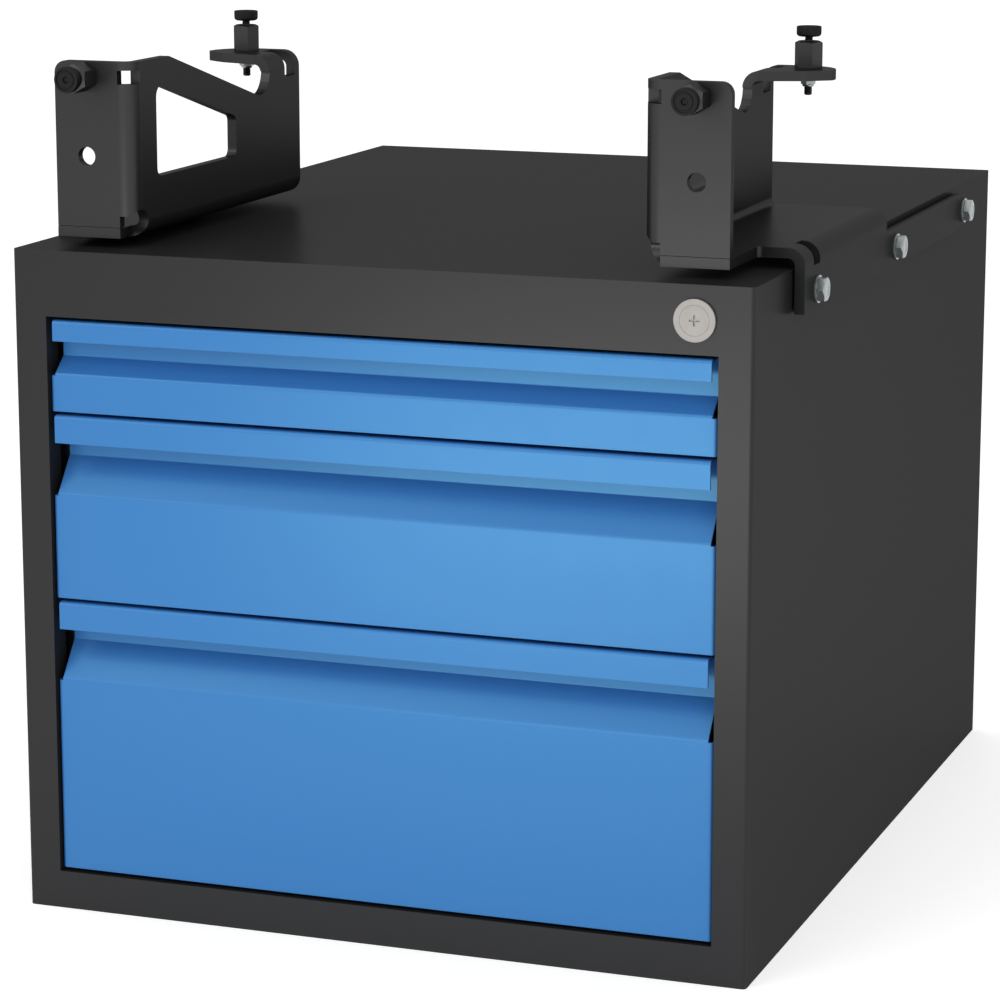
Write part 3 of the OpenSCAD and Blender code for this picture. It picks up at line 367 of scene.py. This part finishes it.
def satin_nickel(name, colour, centre):
    """Warm, softly shining nickel with turning marks round the lock's axis."""
    made, tree, shader = start_material(name)
    marks = use_effect(tree, "Turned Marks", (-900, 0), {"Centre": centre, "Ring Width": 0.16 * MM, "Roughness": 0.42})
    shaded = add(tree, "ShaderNodeHueSaturation", (-350, 200), {
        "Color": (*colour, 1.0), "Value": marks["Shade"]}).outputs[0]
    tree.links.new(shaded, shader.inputs["Base Color"])
    tree.links.new(marks["Roughness"], shader.inputs["Roughness"])
    soft = rounded_bump(tree, marks["Height"], depth=0.012 * MM, width=0.35 * MM)
    tree.links.new(soft, shader.inputs["Normal"])
    shader.inputs["Metallic"].default_value = 0.35
    return made


def paler(colour, factor):
    """A colour made lighter, for the edges of a coat, which are partly worn and partly carry a painted highlight."""
    return tuple(min(1.0, part * factor + 0.02) for part in colour)


def duller(colour, share):
    """A colour made darker, for the dull patches of a plated metal."""
    return tuple(part * share for part in colour)


def finish(name):
    """The finish of that name, made from the settings when it is first asked for."""
    found = bpy.data.materials.get(name)
    if found:
        return found
    f = bpy.context.scene.drawer_unit_finishes
    grain, depth, width = f.grain_size, f.grain_depth, f.edge_width
    if name == "casing_coat":
        return coat(name, f.casing_colour, f.coat_roughness, paler(f.casing_colour, 1.8), f.edge_wear_and_highlight, grain, depth,
                    width)
    if name == "front_coat":
        return coat(name, f.front_colour, f.coat_roughness, paler(f.front_colour, 1.25), f.edge_wear_and_highlight, grain,
                    depth * 0.4, width, drift=0.03, sheen=0.2, slant_sheen=0.06, gloss=0.66,
                    gloss_colour=(0.15, 0.78, 1.0))
    # The brackets' edges get a strong paler line, partly wear and partly a painted highlight on their lit edges
    if name == "bracket_coat":
        return coat(name, f.bracket_colour, f.coat_roughness, paler(f.bracket_colour, 2.6),
                    min(1.0, f.edge_wear_and_highlight * 1.6), grain, depth, width, sheen=0.5, slant_sheen=0.14, fade=(0.2, 0.66))
    if name == "black_oxide":
        return coat(name, f.black_colour, roughness=0.38, worn_and_lit_edge=paler(f.black_colour, 3.0), wear_and_highlight_share=0.6,
                    grain=0.3 * MM, depth=0.006 * MM, width=0.35 * MM, sheen=0.6, slant_sheen=0.12)
    # The pad's rounded rim is painted paler, a painted highlight on the rim along with some wear
    if name == "pad_rubber":
        return coat(name, f.rubber_colour, roughness=0.5, worn_and_lit_edge=paler(f.rubber_colour, 4.0), wear_and_highlight_share=0.7,
                    grain=0.4 * MM, depth=0.02 * MM, width=0.4 * MM, sheen=0.22, slant_sheen=0.1)
    if name == "guide_plastic":
        return coat(name, f.rubber_colour, roughness=0.5, worn_and_lit_edge=paler(f.rubber_colour, 1.5), wear_and_highlight_share=0.3,
                    grain=0.8 * MM, depth=0.02 * MM, width=0.3 * MM)
    if name == "cage_nylon":
        return coat(name, f.cage_colour, roughness=0.45, worn_and_lit_edge=paler(f.cage_colour, 1.1), wear_and_highlight_share=0.3,
                    grain=0.8 * MM, depth=0.015 * MM, width=0.2 * MM)
    if name == "nut_nylon":
        return coat(name, shade(188, 196, 206), roughness=0.4, worn_and_lit_edge=shade(214, 220, 226), wear_and_highlight_share=0.3,
                    grain=0.5 * MM, depth=0.01 * MM, width=0.15 * MM)
    if name == "zinc_plate":
        return plated(name, f.zinc_colour, duller(f.zinc_colour, 0.72), roughness=0.34, crystal=1.5 * MM,
                      share=0.25, width=0.3 * MM)
    if name == "galvanised":
        return plated(name, f.rail_colour, duller(f.rail_colour, 0.6), roughness=0.4, crystal=5.0 * MM,
                      share=0.45, width=0.3 * MM)
    if name == "ball_steel":
        return plated(name, shade(205, 207, 210), shade(180, 182, 186), roughness=0.16, crystal=1.0 * MM,
                      share=0.1, width=0.05 * MM)
    if name == "lock_nickel":
        low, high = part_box("lock_cylinder")
        return satin_nickel(name, f.nickel_colour, (low + high) / 2)
    raise ValueError("no finish is called " + name)


# ---------------------------------------------------------------- mesh building


def solids_of(node):
    """(lowest corner, highest corner) of each separate solid in a CAD node."""
    copy = bmesh.new()
    copy.from_mesh(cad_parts[node].data)
    bmesh.ops.remove_doubles(copy, verts=copy.verts, dist=0.001 * MM)
    copy.verts.ensure_lookup_table()
    seen, boxes = set(), []
    for first in copy.verts:
        if first.index in seen:
            continue
        seen.add(first.index)
        waiting, points = [first], []
        while waiting:
            here = waiting.pop()
            points.append(here.co.copy())
            for edge in here.link_edges:
                other = edge.other_vert(here)
                if other.index not in seen:
                    seen.add(other.index)
                    waiting.append(other)
        boxes.append((Vector(map(min, zip(*points))), Vector(map(max, zip(*points)))))
    copy.free()
    return sorted(boxes, key=lambda b: tuple(round(c, 5) for c in b[0]))


def axes_along(point, axis, turn=0.0):
    """Matrix that puts a piece built along Z at a point, along an axis."""
    tilt = Vector(axis).to_track_quat("Z", "Y").to_matrix().to_4x4()
    return Matrix.Translation(point) @ tilt @ Matrix.Rotation(turn, 4, "Z")


def turned(mesh, profile, place, flats=None, slot=0, steps=None):
    """A turned piece: rings at the profile's (height, radius) points. Rings of points with a third entry are cut
    to a hexagon that is flats wide."""
    steps = steps or bpy.context.scene.drawer_unit_details.turn_steps
    rings = []
    for height, radius, *hexagonal in profile:
        if radius <= ON_AXIS:
            rings.append([mesh.verts.new(place @ Vector((0.0, 0.0, height)))])
            continue
        ring = []
        for k in range(steps):
            angle = 2 * math.pi * k / steps
            here = radius
            if hexagonal:
                off = (angle + math.pi / 6) % (math.pi / 3) - math.pi / 6
                here = min(radius, flats / 2 / math.cos(off))
            ring.append(mesh.verts.new(place @ Vector((here * math.cos(angle), here * math.sin(angle), height))))
        rings.append(ring)
    for lower, upper in zip(rings, rings[1:]):
        count = max(len(lower), len(upper))
        for k in range(count):
            corners = [lower[k % len(lower)], lower[(k + 1) % len(lower)], upper[(k + 1) % len(upper)],
                       upper[k % len(upper)]]
            corners = list(dict.fromkeys(corners))
            if len(corners) > 2:
                mesh.faces.new(corners).material_index = slot


def hexagon_profile(low, high, flats):
    """Heights and radii of a hexagon body with a 30 degree chamfer round its top."""
    corner = flats / 2 / math.cos(math.pi / 6)
    face = flats / 2 * 0.96
    drop = (corner - face) * math.tan(math.radians(30))
    chamfer = [(high - drop * part, face + (corner - face) * part, True) for part in (1.0, 0.75, 0.5, 0.25, 0.0)]
    return [(low, corner, True), *chamfer]


def thread(mesh, start, end, diameter, pitch, place):
    """A screw thread between two heights, with its flanks and crests, that fades out at both ends."""
    around, along = 20, 6  # points round each ring, and rings to each turn
    depth = 0.54 * pitch
    flank = 1.25  # above 1, a flat crest is left
    rows = max(2, round((end - start) / pitch * along))
    previous = None
    for row in range(rows + 1):
        height = start + (end - start) * row / rows
        fade = min(1.0, row / along, (rows - row) / along)
        ring = []
        for k in range(around):
            phase = ((height - start) / pitch + k / around) % 1.0
            wave = abs(phase * 2 - 1)
            radius = diameter / 2 - depth * (1 - min(1.0, wave * flank)) * fade
            angle = 2 * math.pi * k / around
            ring.append(mesh.verts.new(place @ Vector((radius * math.cos(angle), radius * math.sin(angle), height))))
        if previous:
            for k in range(around):
                mesh.faces.new((previous[k], previous[(k + 1) % around], ring[(k + 1) % around], ring[k]))
        else:
            mesh.faces.new(list(reversed(ring)))
        previous = ring
    mesh.faces.new(previous)


def block(mesh, low, high, bevel):
    """A box between two corners with chamfered edges. It is bevelled in a mesh of its own, because a bevel frees
    places in its mesh that later faces would fill in no fixed order."""
    box = bmesh.new()
    made = bmesh.ops.create_cube(box, size=1.0)
    for vert in made["verts"]:
        vert.co = Vector(((high[k] - low[k]) * vert.co[k] + (high[k] + low[k]) / 2 for k in range(3)))
    bmesh.ops.bevel(box, geom=list(box.edges), offset=bevel, segments=2, affect="EDGES", profile=0.5)
    data = bpy.data.meshes.new("block")
    box.to_mesh(data)
    box.free()
    mesh.from_mesh(data)
    bpy.data.meshes.remove(data)


def piece(name, mesh, finishes, body, replaced):
    """Turns a bmesh into a piece that rides on a body and stands for CAD nodes."""
    bmesh.ops.recalc_face_normals(mesh, faces=mesh.faces)
    data = bpy.data.meshes.new(name)
    mesh.to_mesh(data)
    mesh.free()
    for wanted in finishes:
        data.materials.append(finish(wanted))
    data.shade_smooth()
    data.set_sharp_from_angle(angle=SHARP_ANGLE)
    made = bpy.data.objects.new(name, data)
    bpy.context.scene.collection.objects.link(made)
    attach(made, body)
    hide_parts(*replaced)


def dress(nodes, name):
    """Gives CAD nodes their finish."""
    for node in nodes:
        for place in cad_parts[node].material_slots:
            place.material = finish(name)


def domed_rivet(mesh, place, head_r, head_h, length):
    """A blind rivet: dome with the broken mandrel in its middle, shank and swollen tail."""
    dome = [(head_h * math.sin(a), head_r * math.cos(a)) for a in (math.radians(d) for d in range(0, 75, 12))]
    bore = 1.0 * MM
    profile = [(-length, 0.0), (-length, RIVET_TAIL_R * 0.8), (-length + 0.4 * MM, RIVET_TAIL_R),
               (-length + 1.3 * MM, RIVET_TAIL_R), (-length + 1.5 * MM, RIVET_SHANK_R), (0.0, RIVET_SHANK_R),
               (0.0, head_r * 0.98), *dome, (head_h, bore), (head_h * 0.45, bore * 0.9), (head_h * 0.55, 0.0)]
    turned(mesh, profile, place)


# ---------------------------------------------------------------- operators


class DRAWERUNIT_OT_casing(Operator):
    """Coats the casing, its floor and back, and rivets the back on"""
    bl_idname = "drawer_unit.casing"
    bl_label = "Casing"

    def execute(self, context):
        dress(["casing_shell", "bottom_panel", "back_panel"], "casing_coat")
        mesh = bmesh.new()
        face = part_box("back_panel")[1].y
        for low, high in solids_of("back_rivets"):
            centre = (low + high) / 2
            place = axes_along((centre.x, face, centre.z), (0, 1, 0))
            domed_rivet(mesh, place, (high.x - low.x) / 2, high.y - face, face - low.y)
        piece("back_rivets_domed", mesh, ["zinc_plate"], "cabinet", ["back_rivets"])
        return {"FINISHED"}


class DRAWERUNIT_OT_fronts(Operator):
    """Coats the drawer fronts"""
    bl_idname = "drawer_unit.fronts"
    bl_label = "Drawer Fronts"

    def execute(self, context):
        dress([f"drawer_front_{n}" for n in DRAWERS], "front_coat")
        return {"FINISHED"}


class DRAWERUNIT_OT_trays(Operator):
    """Coats the trays and rivets them to their fronts"""
    bl_idname = "drawer_unit.trays"
    bl_label = "Trays"

    def execute(self, context):
        dress([f"drawer_tray_{n}" for n in DRAWERS], "casing_coat")
        dress([f"drawer_catch_{n}" for n in DRAWERS], "zinc_plate")
        for n in DRAWERS:
            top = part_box(f"drawer_tray_{n}")[0].z + TRAY_SHEET
            mesh = bmesh.new()
            for low, high in solids_of(f"front_rivets_{n}"):
                centre = (low + high) / 2
                place = axes_along((centre.x, centre.y, top), (0, 0, 1))
                domed_rivet(mesh, place, (high.x - low.x) / 2, high.z - top, top - low.z)
            piece(f"front_rivets_domed_{n}", mesh, ["zinc_plate"], f"drawer_{n}", [f"front_rivets_{n}"])
        return {"FINISHED"}


class DRAWERUNIT_OT_runners(Operator):
    """Plates the uprights and runners, and fills the cages with balls"""
    bl_idname = "drawer_unit.runners"
    bl_label = "Runners"

    def execute(self, context):
        dress(["uprights_front", "uprights_rear"], "galvanised")
        dress([f"outer_rails_{n}" for n in DRAWERS], "galvanised")
        dress([f"{rail}_rail_{side}_{n}" for rail in ("middle", "inner") for side in ("left", "right")
               for n in DRAWERS], "galvanised")
        pitch = context.scene.drawer_unit_details.ball_pitch
        for n in DRAWERS:
            mesh = bmesh.new()
            for low, high in solids_of(f"ball_cages_{n}"):
                self.fill_cage(mesh, low, high, pitch)
            piece(f"ball_cages_filled_{n}", mesh, ["cage_nylon", "ball_steel"], f"slide_{n}",
                  [f"ball_cages_{n}"])
        mesh = bmesh.new()
        head_h = 1.0 * MM
        for low, high in solids_of("runner_screws"):
            inward = -1 if low.x > 0 else 1
            head = low.x if inward < 0 else high.x
            centre = (low + high) / 2
            place = axes_along((head - inward * head_h, centre.y, centre.z), (inward, 0, 0))
            self.pan_screw(mesh, place, (high.y - low.y) / 2, head_h, high.x - low.x - head_h)
        piece("runner_screws_pan", mesh, ["zinc_plate"], "cabinet", ["runner_screws"])
        return {"FINISHED"}

    def fill_cage(self, mesh, low, high, pitch):
        """A cage strip with its row of balls."""
        centre = (low + high) / 2
        thick = (high.z - low.z) * 0.3
        block(mesh, (low.x, low.y, centre.z - thick / 2), (high.x, high.y, centre.z + thick / 2), 0.2 * MM)
        wide = high.x - low.x
        radius = min(min(high.z - low.z, wide * 1.2) / 2 * 0.97, wide / 2)
        count = int((high.y - low.y - pitch) // pitch) + 1
        start = centre.y - (count - 1) * pitch / 2
        sphere = [(-radius * math.cos(math.radians(a)), radius * math.sin(math.radians(a)))
                  for a in (0, 24, 48, 72, 96, 120, 150, 180)]
        for k in range(count):
            turned(mesh, sphere, Matrix.Translation((centre.x, start + k * pitch, centre.z)), slot=1, steps=12)

    def pan_screw(self, mesh, place, head_r, head_h, length):
        """A pan-headed screw with a round recess."""
        shank = 2.0 * MM
        turned(mesh, [(-length, 0.0), (-length, 1.4 * MM), (-length + 0.6 * MM, shank), (0.0, shank),
                      (0.0, head_r), (head_h * 0.45, head_r), (head_h * 0.8, head_r * 0.88), (head_h, head_r * 0.62),
                      (head_h, 1.3 * MM), (head_h * 0.1, 1.1 * MM), (head_h * 0.1, 0.0)], place)


class DRAWERUNIT_OT_lock(Operator):
    """Finishes the lock, its nut, cam, bar and guides"""
    bl_idname = "drawer_unit.lock"
    bl_label = "Lock"

    def execute(self, context):
        dress(["lock_housing", "lock_cylinder"], "lock_nickel")
        dress(["lock_nut", "lock_cam", "lock_bar", "lock_fingers"], "zinc_plate")
        dress(["bar_guides"], "guide_plastic")
        return {"FINISHED"}


class DRAWERUNIT_OT_brackets(Operator):
    """Coats the brackets and puts in their bolts with chamfered heads"""
    bl_idname = "drawer_unit.brackets"
    bl_label = "Brackets"

    def execute(self, context):
        dress(["bracket_left", "bracket_right"], "bracket_coat")
        dress(["bracket_washers", "rivet_nuts"], "zinc_plate")
        details = context.scene.drawer_unit_details
        mesh = bmesh.new()
        for low, high in solids_of("bracket_bolts"):
            side = 1 if high.x > 0 else -1
            start, end = sorted((abs(low.x), abs(high.x)))
            seat = end - details.bolt_head_h
            centre = (low + high) / 2
            place = axes_along((side * seat, centre.y, centre.z), (side, 0, 0))
            turn = Matrix.Rotation(self.corner_turn(place), 4, "Z")
            self.bolt(mesh, place @ turn, seat - start, details)
        piece("bracket_bolts_chamfered", mesh, ["zinc_plate"], "cabinet", ["bracket_bolts"])
        return {"FINISHED"}

    def corner_turn(self, place):
        """Turn that puts a corner of the hexagon upward."""
        across = (place.to_3x3() @ Vector((1, 0, 0))).normalized()
        return 0.0 if abs(across.z) > 0.9 else math.pi / 2

    def bolt(self, mesh, place, shank_l, details):
        """A hexagon bolt with a collar under its head and a shallow dish in its top."""
        shank = details.bolt_shank_d / 2
        point = 0.8 * MM
        head, flats = details.bolt_head_h, details.bolt_flats
        face = flats / 2 * 0.94
        collar = 0.35 * MM
        turned(mesh, [(-shank_l, 0.0), (-shank_l, shank - point), (-shank_l + point, shank), (0.0, shank),
                      (0.0, face), (collar, face)], place)
        dish = 0.25 * MM
        turned(mesh, [(collar, face), *hexagon_profile(collar, head, flats), (head, face * 0.72),
                      (head - dish, face * 0.66), (head - dish, 0.0)], place, flats)


class DRAWERUNIT_OT_feet(Operator):
    """Fits the four feet: sleeve, threaded stud, pad and locking nut"""
    bl_idname = "drawer_unit.feet"
    bl_label = "Feet"

    def execute(self, context):
        details = context.scene.drawer_unit_details
        dress(["foot_sleeves"], "black_oxide")
        nuts = bmesh.new()
        for name in FEET:
            self.foot(nuts, name, details)
        piece("foot_locknuts_chamfered", nuts, ["zinc_plate", "nut_nylon"], "cabinet", ["foot_locknuts"])
        return {"FINISHED"}

    def foot(self, nuts, name, details):
        """Pad, stud and nut of one foot, which stands up at the rear and points forward at the front."""
        rear = name.startswith("rear")
        axis, turn = ((0, 0, 1), 0.0) if rear else ((0, -1, 0), math.pi / 6)
        low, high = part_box(f"foot_stud_{name}")
        pad_low, pad_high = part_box(f"foot_pad_{name}")
        centre = (low + high) / 2
        if rear:
            back = (centre.x, centre.y, pad_low.z)
            seat = (centre.x, centre.y, low.z + STUD_TAIL)
            stud_l, pad_h, hole = high.z - low.z, pad_high.z - pad_low.z, high.z - pad_low.z
        else:
            back = (centre.x, pad_high.y, centre.z)
            seat = (centre.x, high.y - STUD_TAIL, centre.z)
            stud_l, pad_h, hole = high.y - low.y, pad_high.y - pad_low.y, pad_high.y - low.y
        mesh = bmesh.new()
        self.pad(mesh, axes_along(back, axis), (pad_high.x - pad_low.x) / 2, pad_h, hole, details)
        piece(f"foot_pad_grooved_{name}", mesh, ["pad_rubber"], f"foot_{name}", [f"foot_pad_{name}"])
        place = axes_along(seat, axis, turn)
        mesh = bmesh.new()
        self.stud(mesh, place, stud_l, details)
        piece(f"foot_stud_threaded_{name}", mesh, ["black_oxide"], f"foot_{name}",
              [f"foot_stud_{name}"])
        self.nut(nuts, place, details)

    def pad(self, mesh, place, rim, height, hole, details):
        """A pad with a hole for the stud, a rounded back, and a groove and a dimple in its face."""
        bore = details.stud_d / 2 + 0.05 * MM
        under, edge = 2.0 * MM, 0.6 * MM
        groove, step, dimple = 0.8 * MM, 0.25 * MM, 1.5 * MM
        quarter = [math.pi / 2 * k / 5 for k in range(6)]
        turned(mesh, [(hole, 0.0), (hole, bore), (0.0, bore),
                      *[(under * (1 - math.cos(a)), rim - under * (1 - math.sin(a))) for a in quarter],
                      *[(height - edge * (1 - math.sin(a)), rim - edge * (1 - math.cos(a))) for a in quarter],
                      (height, rim * 0.82), (height - groove, rim * 0.79), (height - groove, rim * 0.66),
                      (height - step, rim * 0.62), (height - step, rim * 0.28), (height - dimple, rim * 0.2),
                      (height - dimple, 0.0)], place)

    def stud(self, mesh, place, length, details):
        """A stud that is threaded below the plate and above the sleeve, and plain inside them."""
        radius = details.stud_d / 2
        start, tip = -STUD_TAIL, 0.5 * MM
        thread_end = -details.foot_plate_t - 0.2 * MM
        turned(mesh, [(start, 0.0), (start, radius - 0.9 * MM), (start + tip, radius - 0.45 * MM)], place)
        thread(mesh, start + tip, thread_end, details.stud_d, details.thread_pitch, place)
        turned(mesh, [(thread_end, 0.0), (thread_end, radius), (details.sleeve_l, radius), (details.sleeve_l, 0.0)],
               place)
        thread(mesh, details.sleeve_l, start + length, details.stud_d, details.thread_pitch, place)

    def nut(self, mesh, place, details):
        """A locking nut under the plate, with its collar and its nylon ring."""
        seat = -details.foot_plate_t
        collar_h = 1.5 * MM
        body = details.foot_nut_h - collar_h
        flats = details.foot_nut_flats
        collar = flats / 2 * 0.9
        low = seat - details.foot_nut_h
        turned(mesh, [*hexagon_profile(seat - body, seat, flats), (seat, 0.0)], place, flats)
        turned(mesh, [(seat - body, flats / 2), (seat - body - 0.15 * MM, collar), (low + 0.5 * MM, collar * 0.97),
                      (low + 0.12 * MM, collar * 0.9), (low, collar * 0.8), (low + 0.1 * MM, collar * 0.74)], place)
        bore = details.stud_d / 2 + 0.05 * MM
        turned(mesh, [(low + 0.1 * MM, collar * 0.74), (low + 0.35 * MM, bore), (seat - body, bore)], place, slot=1)


class DRAWERUNIT_OT_stage(Operator):
    """Sets the floor, lights, surroundings and camera"""
    bl_idname = "drawer_unit.stage"
    bl_label = "Stage"

    def execute(self, context):
        stage = context.scene.drawer_unit_stage
        context.scene.view_settings.view_transform = "Standard"
        self.floor(context, stage)
        self.surroundings(context, stage)
        self.camera(context, stage)
        for name, (place, aim, size) in LAMPS.items():
            self.lamp(context, f"{name}_light", getattr(stage, f"{name}_power"), place, aim, size)
        return {"FINISHED"}

    def floor(self, context, stage):
        """A wide pale floor that keeps the object's shadow."""
        mesh = bmesh.new()
        bmesh.ops.create_grid(mesh, x_segments=8, y_segments=8, size=12.0)
        data = bpy.data.meshes.new("studio_floor")
        mesh.to_mesh(data)
        mesh.free()
        made, tree, shader = start_material("studio_floor")
        faint = add(tree, "ShaderNodeTexNoise", (-700, 250), {"Scale": 3.0, "Detail": 2.0}).outputs[0]
        swing = 0.01
        drift = sums(tree, (-600, 300), "MULTIPLY", faint, swing)
        value = sums(tree, (-500, 250), "ADD", drift, 1.0 - swing / 2)
        colour = add(tree, "ShaderNodeHueSaturation", (-350, 250), {
            "Color": (*stage.floor_colour, 1.0), "Value": value}).outputs[0]
        glow = sums(tree, (-400, 0), "MULTIPLY", seen_rays(tree), stage.floor_glow)
        tree.links.new(colour, shader.inputs["Base Color"])
        shader.inputs["Roughness"].default_value = 0.9
        shader.inputs["Specular IOR Level"].default_value = 0.0
        shader.inputs["Emission Color"].default_value = WHITE
        tree.links.new(glow, shader.inputs["Emission Strength"])
        data.materials.append(made)
        floor = bpy.data.objects.new("studio_floor", data)
        context.scene.collection.objects.link(floor)

    def surroundings(self, context, stage):
        """A white world that lights the object at a lower level than it shows."""
        world = bpy.data.worlds.new("studio")
        context.scene.world = world
        world.use_nodes = True
        tree = world.node_tree
        level = add(tree, "ShaderNodeMapRange", (-400, 0), {
            "Value": seen_rays(tree), "To Min": stage.world_level, "To Max": 1.0}).outputs[0]
        backdrop = tree.nodes["Background"]
        backdrop.inputs["Color"].default_value = WHITE
        tree.links.new(level, backdrop.inputs["Strength"])

    def lamp(self, context, name, power, place, aim, size):
        """A soft rectangular lamp at a place, turned to an aim."""
        data = bpy.data.lights.new(name, "AREA")
        data.energy = power
        data.shape = "RECTANGLE"
        data.size, data.size_y = size
        made = bpy.data.objects.new(name, data)
        made.location = place
        made.rotation_euler = (Vector(aim) - Vector(place)).to_track_quat("-Z", "Y").to_euler()
        context.scene.collection.objects.link(made)

    def camera(self, context, stage):
        """The camera, at its angle and distance from the point that it looks at."""
        data = bpy.data.cameras.new("camera")
        data.sensor_width = 36.0
        data.lens = stage.lens
        data.clip_start, data.clip_end = 0.05, 50.0
        made = bpy.data.objects.new("camera", data)
        across, up = stage.azimuth, stage.elevation
        back = Vector((math.sin(across) * math.cos(up), -math.cos(across) * math.cos(up), math.sin(up)))
        made.location = Vector(stage.aim) + back * stage.distance
        made.rotation_euler = back.to_track_quat("Z", "Y").to_euler()
        context.scene.collection.objects.link(made)
        context.scene.camera = made


class DRAWERUNIT_PT_sidebar(Panel):
    """Steps and sizes of the drawer unit"""
    bl_label = "Drawer Unit"
    bl_idname = "DRAWERUNIT_PT_sidebar"
    bl_space_type = "VIEW_3D"
    bl_region_type = "UI"
    bl_category = "Drawer Unit"

    def draw(self, context):
        scene, layout = context.scene, self.layout
        for step in STEPS:
            layout.operator(step.bl_idname)
        for group in (scene.drawer_unit_finishes, scene.drawer_unit_details, scene.drawer_unit_stage):
            box = layout.box()
            for name in group.bl_rna.properties.keys():
                if name not in {"rna_type", "name"}:
                    box.prop(group, name)


STEPS = (DRAWERUNIT_OT_casing, DRAWERUNIT_OT_fronts, DRAWERUNIT_OT_trays, DRAWERUNIT_OT_runners,
         DRAWERUNIT_OT_lock, DRAWERUNIT_OT_brackets, DRAWERUNIT_OT_feet, DRAWERUNIT_OT_stage)
GROUPS = {"drawer_unit_finishes": DrawerUnitFinishes, "drawer_unit_details": DrawerUnitDetails,
          "drawer_unit_stage": DrawerUnitStage}


def register():
    """Adds the settings, the steps and their panel."""
    for made in (*GROUPS.values(), *STEPS, DRAWERUNIT_PT_sidebar):
        bpy.utils.register_class(made)
    for name, group in GROUPS.items():
        setattr(bpy.types.Scene, name, PointerProperty(type=group))


def unregister():
    """Takes them away again."""
    for name in GROUPS:
        delattr(bpy.types.Scene, name)
    for made in reversed((*GROUPS.values(), *STEPS, DRAWERUNIT_PT_sidebar)):
        bpy.utils.unregister_class(made)


def main():
    """Runs every step."""
    register()
    for step in STEPS:
        getattr(bpy.ops.drawer_unit, step.bl_idname.partition(".")[2])()


if __name__ == "__main__":
    main()
